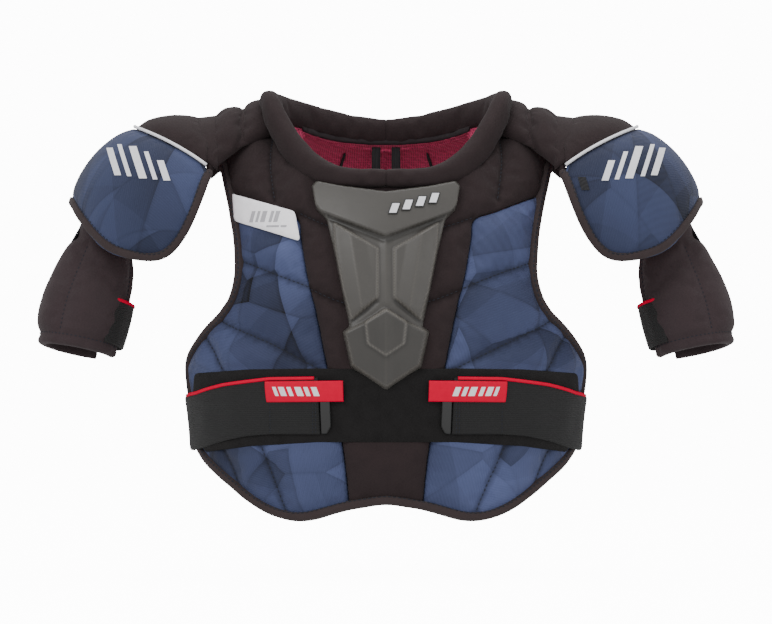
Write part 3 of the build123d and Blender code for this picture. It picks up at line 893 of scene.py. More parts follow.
# Darts in the back lining, either side of the hanging loop
dart_points, dart_faces = [], []
for side in (1, -1):
    path, outward = BACK.path(BACK.flat(resample([(side * 39.5, 338), (side * 46.5, 316)], 3)), -14.6)
    width = np.interp(np.linspace(0, 1, len(path)), [0, 0.15, 0.85, 1], [0.6, 1.5, 1.3, 0.5])
    points, faces, _ = tube(path, -outward, width, 0.8, 8, 2)
    dart_faces += [tuple(i + sum(map(len, dart_points)) for i in face) for face in faces]
    dart_points.append(points)
new_piece("lining_darts", np.vstack(dart_points), dart_faces, "webbing_black", "back")


# ---- collar -------------------------------------------------------------------------------------------------
def collar_line(turn):
    """Middle line of the collar, 0 at the throat and pi at the nape."""
    share = 1 - np.cos(turn)
    front = 302 + 67 * share**1.8 * (3 - 2 * share)
    back = 345.5 + 23.5 * np.abs(np.sin(turn)) ** 1.4
    height = np.where(turn < math.pi / 2, front, back)
    return np.stack([102 * np.sin(turn), -6 - 80 * np.cos(turn), height], axis=-1)


def collar(side, sign):
    turns = np.linspace(-0.018, math.pi + 0.018, 76)
    line = collar_line(turns)
    along = np.gradient(line, axis=0)
    along[0], along[-1] = (1, 0, 0), (-1, 0, 0)
    along = unit(along)
    outward = np.stack([np.sin(turns), -np.cos(turns), 0 * turns], axis=1)
    outward = unit(outward - along * (outward * along).sum(1, keepdims=True))
    up = np.cross(along, outward)
    up *= np.sign(up[:, 2:3])
    length = lengths_along(line)
    # Pinched at the two seams and across the middle, and lower towards the throat
    size = (1 - 0.10 * bell(np.minimum(length, length[-1] - length) - 1.6, 2.6))
    size = (size * (1 - 0.10 * bell(length - 0.5 * length[-1], 7)))[:, None, None]
    height = (13.4 - 5.4 * bell(length, 55))[:, None, None]
    around = 22
    angle = np.arange(around) * 2 * math.pi / around
    across, tall = squared(np.cos(angle), 0.72), squared(np.sin(angle), 0.72)
    skin = (
        line[:, None]
        + outward[:, None] * across[None, :, None] * 8.8 * size
        + up[:, None] * tall[None, :, None] * height * (0.75 + 0.25 * size)
    )
    faces = [tuple(reversed(f)) for f in tube_faces(len(turns), around)]
    held = np.zeros((len(turns), around))
    held[[0, -1]] = 1
    held[:, tall < -0.8] = 1
    points = settled(skin.reshape(-1, 3), faces, held.ravel(), 2.6, 0.45, 11, 2.0 + sign, (1, 1, 0.5))
    cloth = stacked(length[:, None], angle * 10).reshape(-1, 2)
    new_piece(
        "collar_roll_" + side, points, faces, "jersey_dark", "back", cloth, sign, fine=1, nodes=["collar_" + side],
        fill=0.8,
    )


for side, sign in SIDES:
    collar(side, sign)

# The band inside the collar, down to the edge of the neck hole, and its red facing at the back
turns = np.radians(np.linspace(-1, 181, 60))
top = collar_line(turns) - (0, 0, 5.0)
x, y = NECK_HALF * np.sin(turns), NECK_MIDDLE - NECK_DEEP * np.cos(turns)
z = [
    (FRONT if turn < math.pi / 2 else BACK).neck_height(abs(out), back) - 9 for turn, out, back in zip(turns, x, y)
]
low = np.stack([x, y, np.minimum(z, top[:, 2] - 6)], axis=1)
share = np.linspace(0, 1, 5)[None, :, None]
band = top[:, None] * (1 - share) + low[:, None] * share
towards = np.stack([np.sin(turns), -np.cos(turns), 0 * turns], axis=1)[:, None]
cloth = stacked(turns[:, None] * 90, share[..., 0] * 20)
rear = turns > 1.35
facing = (band - share * np.array([0, 0, 6.0]) - towards * (0.3 + 2.6 * share))[rear]
for side, sign in SIDES:
    grid_piece("collar_band_" + side, band + towards * 1.5, band, cloth, "jersey_dark", "back", sign, 0)
    grid_piece("collar_facing_" + side, facing, facing - towards[rear], cloth[rear], "liner_red", "back", sign, 0)

# ---- hanging loop --------------------------------------------------------------------------------------------
LOOP_HALF = 9
turns = np.linspace(0, math.pi, 15)
leg = np.linspace(339, 316, 8)
x = np.concatenate([LOOP_HALF + 0 * leg, LOOP_HALF * np.cos(turns), -LOOP_HALF + 0 * leg])
z = np.concatenate([leg, 314 - LOOP_HALF * np.sin(turns), leg[::-1]])
loop = np.column_stack([x, 66.8 - 0.9 * np.sin((z - 305) / 34 * math.pi), z])
points, faces, cloth = tube(loop, np.tile([0.0, -1.0, 0.0], (len(loop), 1)), 4.0, 0.8, 10, 4)
new_piece("hanging_loop", points, faces, "webbing_black", "hang_loop", cloth, nodes=["hang_loop"])


# ---- moulded plate ------------------------------------------------------------------------------------------
def ramp(flat, outline, width):
    """1 inside an outline, falling to 0 over width at its edge, and each point's distance from that edge."""
    outline = FRONT.edge(outline, 2)
    away = reach_of(flat, outline, True)
    return np.clip(0.5 + away * np.where(inside(flat, outline), 1, -1) / width, 0, 1), away


PLATE_CROWN = both_halves(np.array([(0, 250), (55, 271), (60, 277), (62.5, 293), (58, 297.5), (38, 293.5), (0, 288.5)]))
SHIELD = both_halves(np.array([(0, 119), (28, 138), (34, 167), (18, 175.5), (0, 187.5)]))
HEXAGON = both_halves(np.array([(0, 146.5), (15, 157), (17, 175.5), (0, 186.5)]))
FACET = np.array([(7, 239.5), (44.5, 262), (43, 240), (36, 204), (29, 178), (7, 197.5)])
FACET_CREASE = np.array([(30, 253.5), (20, 189)])
GROOVES = np.array([[(50, 266), (2, 246.5)], [(8, 193), (31, 174)]])
MIDDLE_CREASES = (((0, 120), (0, 145)), ((0, 148), (0, 185)), ((0, 193), (0, 246)))

flat, faces, rim, _ = triangulate(FRONT.edge(PLATE_EDGE, 1.5), [], 1.5)
to_rim = reach_of(flat, rim, True)
height = 0.6 + 4.2 * np.clip(to_rim / 2.2, 0, 1) ** 0.8
tone = np.zeros(len(flat))
# Outline, how far it rises, over what width, and how bright the painted highlight along its edge is
raised = [(PLATE_CROWN, 4.6, 1.8, 0.10), (SHIELD, 4.0, 1.8, 0.55), (HEXAGON, 1.8, 1.5, 0.75)]
for side in (1, -1):
    raised.append((FACET * (side, 1), 3.0, 1.5, 0.75))
    off = reach_of(flat, FRONT.flat(FACET_CREASE * (side, 1)))
    height += 2.4 * ramp(flat, FACET * (side, 1), 3.0)[0] * np.clip(1 - off / 12, 0, 1)
    # A painted highlight along each facet's crease
    tone += 0.35 * bell(off, 0.7) * ramp(flat, FACET * (side, 1), 1.5)[0]
    for line in GROOVES:
        off = reach_of(flat, FRONT.flat(line * (side, 1)))
        height -= 1.2 * bell(off, 1.6)
        # Painted shade down each groove
        tone -= 0.45 * bell(off, 2.2)
for outline, rises, width, shine in raised:
    share, at_edge = ramp(flat, outline, width)
    height += rises * share
    # A painted highlight along each raised edge, and painted shade at its foot outside
    tone += 2.0 * shine * bell(at_edge, 0.9) - 0.45 * bell(at_edge, 2.4) * (share < 0.3)
for line in MIDDLE_CREASES:
    off = reach_of(flat, FRONT.flat(line))
    height += 1.1 * np.clip(1 - off / 6, 0, 1)
    # A painted highlight along each middle crease
    tone += 0.18 * bell(off, 0.8)
# A painted highlight along the rim's bevel, and the shield darker all over
tone += 0.5 * bell(to_rim - 2.0, 0.8) - 0.32 * ramp(flat, SHIELD, 1.8)[0]
skin, skin_faces = closed(FRONT.solid(flat, height), FRONT.solid(flat, 0.4), FRONT.turned(faces))
new_piece(
    "moulded_plate", skin, skin_faces, "plate_grey", "chest", np.vstack([flat, flat]), tone=np.tile(tone, 2),
    nodes=["sternum_plate"],
)

# ---- loop field, label --------------------------------------------------------------------------------------
raised_patch("loop_pile", FRONT, FIELD_EDGE, (), 0.2, 0, 2.3, 1.6, 4.0, "loop_black", "chest", "loop_field")
raised_patch("care_label", FRONT, LABEL_EDGE, (), 1.5, 0, 3.0, 0.8, 3.4, "label_pale", "chest", "chest_label")


def bars(name, middle, slant, sizes, height, look, on, sign=1):
    """A generic mark: a row of slanted bars. sizes are (shift, half width, half height) in millimetres."""
    base = FRONT.flat_beyond([middle])[0]
    points, faces = [], []
    for shift, half_wide, half_tall in sizes:
        flat = base + [
            (shift + u * half_wide + edge * slant * half_tall, edge * half_tall)
            for edge in (-1, 1)
            for u in np.linspace(edge, -edge, 4)
        ]
        start = len(points)
        points += [*FRONT.solid(flat, height), *FRONT.solid(flat, height - 0.6)]
        faces += [tuple(start + k for k in range(8))]
        faces += [(start + (k + 1) % 8, start + k, start + 8 + k, start + 8 + (k + 1) % 8) for k in range(8)]
    new_piece(name, points, faces, look, on, sign=sign, smooth=False)


# The plate's mark is four pale bars, each on a slightly larger dark one
for look, grow, height in (("hook_black", 0.9, 10.6), ("trim_white", 0.0, 11.1)):
    for index in range(4):
        middle = (7.0 + 11.0 * index, 273.5 + 2.9 * index)
        bars("plate_bar_%s_%d" % (look, index), middle, 0.35, [(0, 3.1 + grow, 4.2 + grow)], height, look, "chest")
LABEL_BARS = ((-14, 2.2, 5), (-7, 1.6, 5), (0, 2.6, 5), (9, 1.6, 5), (15, 2.2, 5))
bars("label_bars", (-106, 268), 0.3, LABEL_BARS, 3.35, "mark_grey", "chest")
bars("label_lines", (-95, 259.5), 0.3, ((-4, 7, 0.8), (8, 3, 0.8)), 3.35, "mark_grey", "chest")

# ---- belly straps and side elastics --------------------------------------------------------------------------
# Across a strip of webbing, closer together at its rolled edges
EDGE_SHARES = np.array([0, 0.012, 0.05, 0.14, 0.28, 0.42, 0.58, 0.72, 0.86, 0.95, 0.988, 1])


def full(share):
    """How much of its thickness a strip has, across it: less at its rolled edges."""
    return 0.45 + 0.55 * np.clip(np.minimum(share, 1 - share) / 0.05, 0, 1) ** 0.5


def closer(angle):
    """How much closer to the vest the straps lie at its sides."""
    return np.interp(angle, (0.8, 1.4), (0, 2.6))


def strap_strip(name, angles, low, high, layer, look, on, sign, wave, crown, node):
    """A length of webbing on the vest's front. low and high give its edges' heights at an angle."""
    share = EDGE_SHARES[None, :]
    angle = np.asarray(angles, float)[:, None] + 0 * share
    z = low(angle) * (1 - share) + high(angle) * share
    inner, outer = layer[0] - closer(angle), layer[1] - closer(angle)
    swell = crown * np.sin(math.pi * share) + wave * np.sin(angle * 23 + 1.3) * np.sin(math.pi * share) ** 2
    top = FRONT.at(angle, z, inner + (outer - inner) * full(share) + swell)[:, ::-1]
    under = FRONT.at(angle, z, inner)[:, ::-1]
    return grid_piece(name, top, under, stacked(angle * GIRTH, z)[:, ::-1], look, on, sign, nodes=[node])


def edge_height(points):
    """Height of a strap's edge at an angle, from front-view points."""
    angles = FRONT.flat_beyond(points)[:, 0] / GIRTH
    return lambda angle: np.interp(angle, angles, [z for _, z in points])


def angle_at(x):
    """The angle around the front of a front-view x, at the straps' height."""
    return FRONT.flat_beyond([(x, 100)])[0, 0] / GIRTH


BAND_LOW = edge_height(((46, 77), (80, 77), (100, 76.8), (120, 75), (140, 70.5), (160, 63.5), (177, 58.5)))
BAND_HIGH = edge_height(((46, 127), (100, 126), (140, 120.5), (165, 113), (177, 109)))
STRAP_END = math.radians(80.1)
TAB_BARS = ((-17, 2.4, 4.0), (-10, 1.8, 4.0), (-3, 2.8, 4.0), (5, 1.8, 4.0), (12, 2.6, 4.0), (18.5, 1.6, 4.0))

for side, sign in SIDES:
    on = "strap_" + side
    band = strap_strip(
        "belly_band_" + side, np.linspace(angle_at(57), STRAP_END, 46), BAND_LOW, BAND_HIGH, (3.2, 5.3),
        "elastic_black", on, sign, 0.35, 0.3, "strap_band_" + side,
    )
    angles = np.linspace(angle_at(60), STRAP_END, 60)
    raised = 5.2 - closer(angles)
    edge = FRONT.at(angles, BAND_HIGH(angles) - 0.4, raised)
    out = FRONT.at(angles, BAND_HIGH(angles) - 0.4, raised + 1) - edge
    points, faces, cloth = tube(edge, out, 1.5, 1.1, 10, 2)
    nodes = ["strap_piping_" + side]
    new_piece("belly_piping_" + side, points, faces, "trim_red", on, cloth, sign, nodes=nodes)
    strap_strip(
        "belly_tab_" + side, np.linspace(angle_at(35.5), angle_at(101), 26), edge_height(((35, 105.8), (101, 105))),
        edge_height(((35, 124.3), (101, 123.4))), (5.5, 7.0), "trim_red", on, sign, 0.2, 0.5, "strap_tab_" + side,
    )
    bars("belly_tab_bars_" + side, (76, 114.6), 0.32, TAB_BARS, 7.85, "trim_white", on, sign)
    strap_strip(
        "belly_tip_" + side, np.linspace(angle_at(47.6), angle_at(56.0), 9),
        edge_height(((47, 84), (50.5, 77.5), (58, 77))), edge_height(((46, 107.5), (58, 108))), (3.2, 5.6),
        "hook_black", on, sign, 0, 0.6, "strap_tip_" + side,
    )
    lines = [FRONT.path(resample(FRONT.flat_beyond([(x, 77.0), (x, 106.0)]), 3), 5.0) for x in (60, 62.5, 99)]
    dashes("belly_stitches_" + side, lines, [band], on, 2.2, 1.2, sign)
    strap_strip(
        "belly_hook_" + side, np.linspace(angle_at(60), angle_at(115), 12), edge_height(((60, 79), (115, 76))),
        edge_height(((60, 123), (115, 120))), (2.45, 3.15), "hook_black", on, sign, 0, 0, "strap_hook_" + side,
    )

    # Elastic under the arm, from the back panel to the chest
    rows, share = np.linspace(0, 1, 34)[:, None], EDGE_SHARES[None, :]
    z = 61.0 * (1 - share) + 109.0 * share + 0 * rows
    y = -24.0 + 90.0 * rows + 0 * share
    half, deep, middle, _ = np.moveaxis(TORSO(z), -1, 0)
    layers = []
    for proud in (0.6 + 2.1 * full(share) + 0.5 * np.sin(math.pi * share) * np.sin(rows * 9), 0.6):
        x = (half + proud) * np.sqrt(1 - ((y - middle) / (deep + proud)) ** 2)
        layers.append(stacked(x, y, z)[:, ::-1])
    bend = ("back", "chest", (0, 0.030, 0.085), (0, -0.018, 0.085))
    nodes = ["side_elastic_" + side]
    grid_piece("side_band_" + side, *layers, stacked(y, z)[:, ::-1], "elastic_black", bend, sign, nodes=nodes)


# ---- shoulder pads ------------------------------------------------------------------------------------------
def arc_at(stations, x):
    """The arc over the shoulder at x: its centre, radius and two end angles, and the pad's thickness if given.
    Stations are x, front, top and back of a side view (y, z), and the thickness."""
    row = [np.interp(x, [s[0] for s in stations], values) for values in zip(*(np.hstack(s[1:]) for s in stations))]
    a, b, c = np.array(row[:6]).reshape(3, 2)
    system = np.array([2 * (b - a), 2 * (c - a)])
    centre = np.linalg.solve(system, [b @ b - a @ a, c @ c - a @ a])
    start, end = (math.atan2(*(p - centre)[::-1]) for p in (a, c))
    return centre, np.linalg.norm(a - centre), start + 2 * math.pi * (start < end), end, row[6:]


def arc_points(x, centre, radius, angle):
    return np.stack([x + 0 * angle, centre[0] + radius * np.cos(angle), centre[1] + radius * np.sin(angle)], axis=1)


def pillow(name, stations, across, along, on, sign, node):
    """A padded strip over the shoulder, rolled over at every edge."""
    t = np.linspace(0, 1, along)
    roll = np.sqrt(np.maximum(1 - np.abs(2 * t - 1) ** 14, 0.0))
    outer, inner = [], []
    for share in (1 + np.cos(np.linspace(0, math.pi, across))) / 2:
        x = stations[0][0] + (stations[-1][0] - stations[0][0]) * share
        centre, radius, start, end, (thick,) = arc_at(stations, x)
        edge = math.sqrt(max(1 - abs(2 * share - 1) ** 5, 0))
        half = 0.5 * thick * (0.30 + 0.70 * edge) * (0.25 + 0.75 * roll)
        mid = radius - 0.5 * thick + 1.2 * edge * roll
        outer.append(arc_points(x, centre, mid + half, start + (end - start) * t))
        inner.append(arc_points(x, centre, mid - half, start + (end - start) * t))
    outer, inner = np.array(outer), np.array(inner)
    held = np.zeros((across, along))
    held[[0, -1]] = held[:, [0, -1]] = 1
    flat = settled(outer.reshape(-1, 3), grid_faces(across, along), held.ravel(), 2.2, 0.4, 12, 5.0 + sign)
    outer = flat.reshape(outer.shape)
    cloth = stacked(outer[..., 0], t * 130)
    grid_piece(name, outer, inner, cloth, "jersey_dark", on, sign, nodes=[node], fill=0.8)


def channel_web(name, stations, depth, spare, bend, sign):
    """The flat strip of fabric that joins two neighbouring pads along their sewn channel."""
    inner_x, outer_x = stations[0][0], stations[-1][0]
    layers = []
    for drop in (depth, depth + 1.6):
        rows = []
        for x in np.linspace(inner_x, outer_x, 6):
            centre, radius, start, end, _ = arc_at(stations, x)
            trim = 0.01 + spare * (x - inner_x) / (outer_x - inner_x)
            t = np.linspace(trim, 1 - trim, 30)
            rows.append(arc_points(x, centre, radius - drop, start + (end - start) * t))
        layers.append(np.array(rows))
    cloth = stacked(layers[0][..., 0], t * 130)
    body, next_body, start, end = bend
    bend = (body, next_body, (start[0] * sign, *start[1:]), (end[0] * sign, *end[1:]))
    grid_piece(name, layers[0][::-1], layers[1][::-1], cloth, "jersey_dark", bend, sign, 0)


INNER_PAD = ((103, (-29, 342), (20, 374), (72, 340), 7.0), (127.9, (-40.5, 332.5), (19, 368.5), (78, 331), 9))
OUTER_PAD = (
    (127.9, (-41, 332), (19, 367.8), (78.5, 330), 8.5), (144, (-54, 319.5), (12, 364), (77, 318), 10),
    (158, (-67.5, 306.5), (7, 354), (79.5, 306), 9),
)
INNER_CHANNEL = ((122, (-38, 333), (19, 369), (77, 332)), (133, (-45, 328), (17, 366.5), (78, 327)))
CAP_CHANNEL = ((149, (-61, 308), (9, 360), (79, 308)), (168, (-72, 310), (5, 357.5), (81, 310)))
for side, sign in SIDES:
    pillow("shoulder_roll_inner_" + side, INNER_PAD, 12, 34, "back", sign, "shoulder_pad_inner_" + side)
    pillow("shoulder_roll_outer_" + side, OUTER_PAD, 15, 38, "arch_" + side, sign, "shoulder_pad_outer_" + side)
for side, sign in SIDES:
    bend = ("back", "arch_" + side, (0.1255, 0, 0.36), (0.130, 0, 0.36))
    channel_web("inner_channel_" + side, INNER_CHANNEL, 1.2, 0.0, bend, sign)
    bend = ("arch_" + side, "cap_" + side, (0.1555, 0, 0.35), (0.160, 0, 0.35))
    channel_web("cap_channel_" + side, CAP_CHANNEL, -0.6, 0.08, bend, sign)

# ---- shoulder caps ------------------------------------------------------------------------------------------
BALL, BALL_RADIUS = np.array([190.0, 5.0, 262.0]), 94.5
CHANNEL_X = 158
CAP_HEM = (
    (158, 310.5), (151, 309), (156, 296), (167, 267), (180, 243.5), (194, 231), (211, 227.8), (244, 234.5),
    (259, 246), (274, 265), (281.5, 280), (292, 288),
)
PIPING_LINE = ((150, 306.5), (158, 313.5), (180, 328), (206, 341), (232, 350), (262, 353))
# The cap's outline, seen at its front, moves out and up by this much for each millimetre further back
DRIFT_X, DRIFT_Z = 0.04, 0.03
CAP_FRONT = -92


def on_ball(line):
    """Where front-view lines meet the ball: front points from first to last, then the back ones returning."""
    x, z = np.asarray(line, float).T
    x0, z0 = x - DRIFT_X * CAP_FRONT - BALL[0], z - DRIFT_Z * CAP_FRONT - BALL[2]
    a = 1 + DRIFT_X**2 + DRIFT_Z**2
    b = 2 * (DRIFT_X * x0 + DRIFT_Z * z0 - BALL[1])
    square = b * b - 4 * a * (x0**2 + z0**2 + BALL[1] ** 2 - BALL_RADIUS**2)
    x, z, b, root = (values[square >= 0] for values in (x, z, b, np.sqrt(np.maximum(square, 0))))
    front, back = (
        np.column_stack([x + DRIFT_X * (y - CAP_FRONT), y, z + DRIFT_Z * (y - CAP_FRONT)])
        for y in ((-b - root) / (2 * a), (-b + root) / (2 * a))
    )
    return np.vstack([front, back[::-1]])


def ball_flat(points):
    """The ball's flat map: out along x, and over the shoulder from back to front."""
    d = (points - BALL) / BALL_RADIUS
    out = np.arcsin(np.clip(d[:, 0], -1, 1))
    over = np.arctan2(-d[:, 1], d[:, 2])
    return np.column_stack([out, over * np.cos(out)]) * BALL_RADIUS


def ball_solid(flat, proud):
    out = flat[:, 0] / BALL_RADIUS
    over = flat[:, 1] / BALL_RADIUS / np.maximum(np.cos(out), 0.05)
    d = np.column_stack([np.sin(out), -np.cos(out) * np.sin(over), np.cos(out) * np.cos(over)])
    return BALL + d * (BALL_RADIUS + np.asarray(proud, float).reshape(-1, 1))


def ball_path(flat, proud=0.0):
    points = ball_solid(flat, proud)
    return points, unit(points - BALL)


def cap(side, sign):
    """Blue and dark covers, lining, piping and binding of a cap. Returns its blue cover."""
    on = "cap_" + side
    hem = on_ball(resample(curve(CAP_HEM), 1.2))
    # The inner edge follows the sewn channel over the ball, from the hem's back end to its front end
    ring = math.sqrt(BALL_RADIUS**2 - (CHANNEL_X - BALL[0]) ** 2)
    start, end = (math.atan2(p[1] - BALL[1], p[2] - BALL[2]) for p in (hem[-1], hem[0]))
    angle = start + (end - start) * np.linspace(0, 1, 60)[1:-1]
    channel = stacked(CHANNEL_X, BALL[1] + ring * np.sin(angle), BALL[2] + ring * np.cos(angle))
    outline = resample(ball_flat(np.vstack([hem, channel])), 3, True)
    piping = ball_flat(on_ball(resample(curve(PIPING_LINE), 1.2)))
    flat, faces, rim, _ = triangulate(outline, [piping], 4.2)
    faces = [tuple(reversed(f)) for f in faces]
    to_piping, to_rim = reach_of(flat, piping), reach_of(flat, rim, True)
    height = np.minimum(rise(to_piping, -1.8, -0.6, 8), rise(to_rim - 4, -1.6, -0.4, 8))
    top_outline = np.vstack([piping, [(-60, piping[-1][1]), (-60, piping[0][1])]])
    fuller = np.interp(ball_solid(flat, 0)[:, 0], (158, 190, 228), (4.6, 3.6, 1.0))
    height = height + inside(flat, top_outline) * np.clip(to_piping / 14, 0, 1) * fuller
    held = np.maximum(sewn(to_piping, 1.4), sewn(to_rim, 2.4))
    points = inflate(ball_solid(flat, height), faces, held, 2.5, 0.02, 1.4)
    top = inside(flat[np.array(faces)].mean(1), top_outline)
    covers = []
    for name, which, look, nodes in (
        ("cap_blue_", ~top, "cap_print", ("cap_cover_" + side, "cap_shell_" + side)),
        ("cap_dark_", top, "jersey_dark", ("cap_top_" + side,)),
    ):
        p, f, g = used(points, chosen(faces, which), flat)
        skin, skin_faces = closed(p, ball_solid(g, -4.2), f)
        cloth = np.vstack([g, g]) + (1200 * sign, 90)
        covers.append(new_piece(name + side, skin, skin_faces, look, on, cloth, sign, fine=1, nodes=nodes, fill=0.7))
    _, f, g = used(points, chosen(faces, to_rim[np.array(faces)].min(1) > 5), flat)
    skin, skin_faces = closed(ball_solid(g, -4.4), ball_solid(g, rise(reach_of(g, rim, True), -5.5, -9.2, 9)), f)
    new_piece(
        "cap_lining_" + side, skin, skin_faces, "liner_red", on, np.vstack([g, g]), sign, fine=1,
        nodes=["cap_pad_" + side], fill=0.6,
    )
    path, out = ball_path(resample(piping, 3.0), 0.4)
    shows = path[:, 0] > CHANNEL_X + 0.5
    p, f, cloth = tube(path[shows], out[shows], 1.5, 1.3, 12, 2.2)
    new_piece("cap_cord_" + side, p, f, "trim_white", on, cloth, sign, nodes=["cap_piping_" + side])
    hem_flat = resample(ball_flat(hem), 4.0)
    path, out = ball_path(inset(hem_flat, -3.8), -3.6)
    wander = smooth_noise(path, 15, 6.0)
    p, f, cloth = tube(path, out, 4.2 + 0.35 * wander, 5.3 + 0.4 * wander, 16, 3.0)
    tape = new_piece(
        "cap_edge_tape_" + side, p, f, "binding_dark", on, cloth, sign, fine=1,
        nodes=["cap_binding_" + side], fill=0.8,
    )
    dashes("cap_stitches_" + side, [ball_path(inset(hem_flat, -6.8))], [tape, *covers], on, sign=sign)
    return covers[0]


def cap_mark(name, on, sign, cover, marks, lean, raised, look):
    """Bars or a small tab on the cap, laid on the settled cover. marks are (shift, width, low, high)."""
    tree = tree_of(cover)
    points, faces = [], []
    for shift, wide, low, high in marks:
        faces += [tuple(len(points) + i for i in f) for f in grid_faces(9, 5)]
        for z in np.linspace(low, high, 9):
            for x in 190 + shift + np.linspace(0, wide, 5) + lean * (z - 300):
                spot = np.array(tree.ray_cast(Vector((sign * x, -200, z)), Vector((0, 1, 0)), 260)[0])
                points.append(spot + unit(spot * (sign, 1, 1) - BALL) * (sign, 1, 1) * raised)
    if sign < 0:
        faces = [tuple(reversed(face)) for face in faces]
    new_piece(name, points, faces, look, on)


CAP_BARS = ((0, 6, 300, 318), (11, 4, 301, 326), (20, 7, 302, 331), (33, 4, 304, 333), (42, 6, 305, 330))
CAP_TAB = ((-20, 7, 291.5, 303),)
for side, sign in SIDES:
    cover = cap(side, sign)
    cap_mark("cap_bars_" + side, "cap_" + side, sign, cover, CAP_BARS, 0.35, 0.5, "trim_white")
    if side == "left":
        cap_mark("cap_side_tab", "cap_left", sign, cover, CAP_TAB, -0.3, 0.9, "webbing_black")

# ---- upper-arm guards ----------------------------------------------------------------------------------------
ARM_BASE = np.array([276.0, -8.0, 149.0])
ARM_UP = unit(np.array([-0.205, 0.13, 1.0]))
ARM_OUT = unit(np.array([1.0, 0, 0]) - ARM_UP * ARM_UP[0])
ARM_BACK = np.cross(ARM_UP, ARM_OUT)
# At each height along the axis: half the width, half the depth, and the middle's shift outwards
ARM = Spline((0, 38, 84, 112, 130), ((36, 38, -1), (38, 40, -1.5), (31, 35, -5), (22, 29, -5), (16, 24, -5)))
ARM_LONG = 130
# The guard is open on the inner side, between these two angles, and a degree is about this many millimetres
ARM_START, ARM_END = 192, 478
ARM_DEGREE = 0.6


def arm_at(degrees, along, proud):
    """A point on the guard: turn from its outer side through the back, height along its axis."""
    degrees, along, proud = np.broadcast_arrays(np.asarray(degrees, float), np.asarray(along, float), proud)
    half = ARM(along)
    a = np.radians(degrees)
    x, y = half[..., 2] + (half[..., 0] + proud) * np.cos(a), (half[..., 1] + proud) * np.sin(a)
    return ARM_BASE + x[..., None] * ARM_OUT + y[..., None] * ARM_BACK + along[..., None] * ARM_UP


def arm_path(degrees, along, proud):
    """A line on the guard as (points, outward directions)."""
    points = arm_at(degrees, along, proud)
    return points, arm_at(degrees, along, proud + 1.0) - points


def arm_strip(name, angles, low, high, layer, look, on, sign, crown, wave, node):
    share = EDGE_SHARES[None, :]
    angle = angles[:, None] + 0 * share
    along = low + (high - low) * share + 0 * angle
    swell = (crown + wave * np.sin(angle * 0.21)) * np.sin(math.pi * share)
    top = arm_at(angle, along, layer[0] + (layer[1] - layer[0]) * full(share) + swell)
    cloth = stacked(angle * ARM_DEGREE, along)
    return grid_piece(name, top, arm_at(angle, along, layer[0]), cloth, look, on, sign, nodes=[node])


def arm_guard(side, sign):
    """The padded guard, open down its inner side and stitched in panels."""
    angles = np.linspace(ARM_START, ARM_END, 84)[::-1]
    shares = np.concatenate([[0, 0.004, 0.012], np.linspace(0.03, 0.97, 36), [0.988, 0.996, 1]])
    angle, height = np.meshgrid(angles, ARM_LONG * shares, indexing="ij")
    to_end = np.minimum(height, ARM_LONG - height)
    to_side = np.minimum(angle - ARM_START, ARM_END - angle) * ARM_DEGREE
    roll = np.clip(np.minimum(to_end / 3.0, to_side / 3.5), 0, 1) ** 0.5
    seam = np.min([
        np.abs(height - 9.5), np.abs(to_side - 9), np.abs(height - 96 - 4 * np.cos(np.radians(angle))),
        *(np.hypot((angle - degrees) * ARM_DEGREE, np.maximum(height - 98, 0)) for degrees in (298, 422)),
    ], axis=0)
    proud = -3.2 + 2.2 * roll + 3.0 * (1 - np.exp(-((seam / 6.5) ** 1.6))) * roll
    outer, inner = arm_at(angle, height, proud), arm_at(angle, height, -8.0 + 2.0 * (1 - roll))
    held = np.maximum(sewn(seam, 1.4), 1 - roll).ravel()
    faces = grid_faces(*angle.shape)
    outer = settled(outer.reshape(-1, 3), faces, held, 2.6, 0.5, 15, 7.0 + sign).reshape(outer.shape)
    on = "arm_" + side
    piece = grid_piece(
        "arm_pad_" + side, outer, inner, stacked(angle * ARM_DEGREE, height), "jersey_arm", on, sign,
        nodes=["arm_guard_" + side, "arm_plate_" + side], fill=0.8,
    )
    lines = [arm_path(np.linspace(196, 474, 120), np.full(120, 9.5), 0.0)]
    for degrees, low, high, count in ((298, 12, 92, 60), (422, 12, 92, 60), (207, 6, 122, 70), (463, 6, 122, 70)):
        lines.append(arm_path(degrees, np.linspace(low, high, count), 0.0))
    dashes("arm_stitches_" + side, lines, [piece], on, 2.4, 1.6, sign)


for side, sign in SIDES:
    arm_guard(side, sign)
    on = "arm_strap_" + side
    angles = np.linspace(119, 233, 40)
    arm_strip("arm_band_" + side, angles, 10, 49, (0.8, 2.6), "elastic_black", on, sign, 0.4, 0.3, on)
    points, faces, cloth = tube(*arm_path(np.linspace(119, 233, 50), 49.5, 2.3), 1.4, 1.0, 10, 2)
    nodes = ["arm_strap_piping_" + side]
    new_piece("arm_cord_" + side, points, faces, "trim_red", on, cloth, sign, nodes=nodes)
    node = "arm_strap_hook_" + side
    arm_strip("arm_hook_" + side, np.linspace(200, 228, 10), 13, 46, (0.35, 0.85), "hook_black", on, sign, 0, 0, node)
    on, node = "hanger_" + side, "hanger_web_" + side
    angles = np.linspace(-20, 20, 14)
    web = arm_strip("hanger_strap_" + side, angles, 64, 126, (0.9, 2.6), "webbing_black", on, sign, 0.2, 0, node)
    # A sewn box with one bar across it and two diagonals
    lines = [
        arm_path(np.linspace(a, b, 14), np.linspace(low, high, 14), 2.0)
        for low, high, a, b in ((66, 66, -16, 16), (73, 73, -16, 16), (66, 73, -16, 16), (66, 73, 16, -16))
    ]
    dashes("hanger_stitches_" + side, lines, [web], on, 2.2, 0.8, sign, "thread_red")

# ---- every other CAD node takes its slot's finish --------------------------------------------------------------
for row in frame["record"]["subparts"]:
    node = frame["nodes"][row["node"]]
    if not node.hide_render:
        node.data.materials.clear()
        node.data.materials.append(LOOKS[row["material_slot"]])

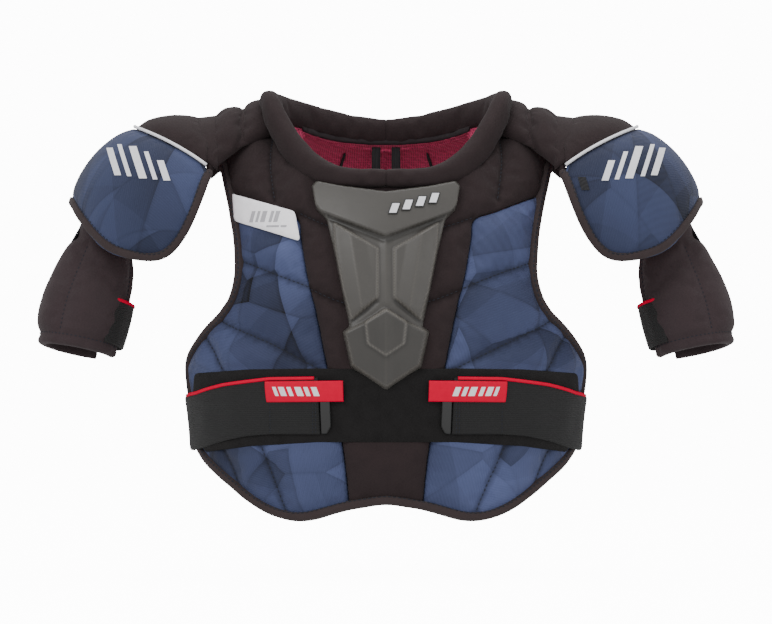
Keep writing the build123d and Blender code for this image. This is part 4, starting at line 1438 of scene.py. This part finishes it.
# ---- stage, in metres ------------------------------------------------------------------------------------------
FLOOR_Z, FLOOR_RADIUS, COVE = -0.05, 11.0, 2.5
SPOKES = 64
turns = np.linspace(0, math.pi / 2, 12)[1:]
profile = [(0.0, FLOOR_Z), (FLOOR_RADIUS, FLOOR_Z)]
profile += [(FLOOR_RADIUS + COVE * math.sin(t), FLOOR_Z + COVE * (1 - math.cos(t))) for t in turns]
profile += [(FLOOR_RADIUS + COVE, 9.0)]
spokes = np.arange(SPOKES) * 2 * math.pi / SPOKES
mesh = bpy.data.meshes.new("floor")
mesh.from_pydata(
    [(r * math.cos(a), r * math.sin(a), z) for r, z in profile for a in spokes], [],
    grid_faces(len(profile), SPOKES, wrap=True),
)
mesh.shade_smooth()
floor = bpy.data.objects.new("floor", mesh)
bpy.context.scene.collection.objects.link(floor)
pale = Shader("pale_floor", (0.92, 0.92, 0.92), 0.9, Emission_Color=(1, 1, 1, 1), Emission_Strength=12.0)
mesh.materials.append(pale.material)
floor.visible_diffuse = False
floor.visible_glossy = False
floor.visible_shadow = False

world = bpy.data.worlds.new("studio")
world.use_nodes = True
world.node_tree.nodes["Background"].inputs["Color"].default_value = (1.0, 1.0, 1.0, 1)
world.node_tree.nodes["Background"].inputs["Strength"].default_value = 1.0
bpy.context.scene.world = world

for name, place, size, power in (
    ("key", (-1.6, -2.6, 2.4), 1.6, 44.0),
    ("fill", (2.2, -2.6, 1.2), 2.2, 16.0),
    ("top", (0.2, 0.4, 2.6), 2.0, 30.0),
):
    lamp = bpy.data.lights.new(name, "AREA")
    lamp.size = size
    lamp.energy = power
    light = bpy.data.objects.new(name, lamp)
    light.location = place
    light.rotation_euler = (Vector((0, 0, 0.2)) - Vector(place)).to_track_quat("-Z", "Y").to_euler()
    bpy.context.scene.collection.objects.link(light)

# The photograph's frame is VIEW_WIDTH wide where the chest is, CHEST_AWAY from the camera
VIEW_WIDTH, CHEST_AWAY, CHEST_Y = 0.6807, 6.0, -0.08
SENSOR = 36
lens = bpy.data.cameras.new("front")
lens.lens = SENSOR * CHEST_AWAY / VIEW_WIDTH
lens.clip_end = 100
camera = bpy.data.objects.new("front", lens)
camera.location = (0, CHEST_Y - CHEST_AWAY, 0.1843)
camera.rotation_euler = (math.pi / 2, 0, 0)
bpy.context.scene.collection.objects.link(camera)
bpy.context.scene.camera = camera
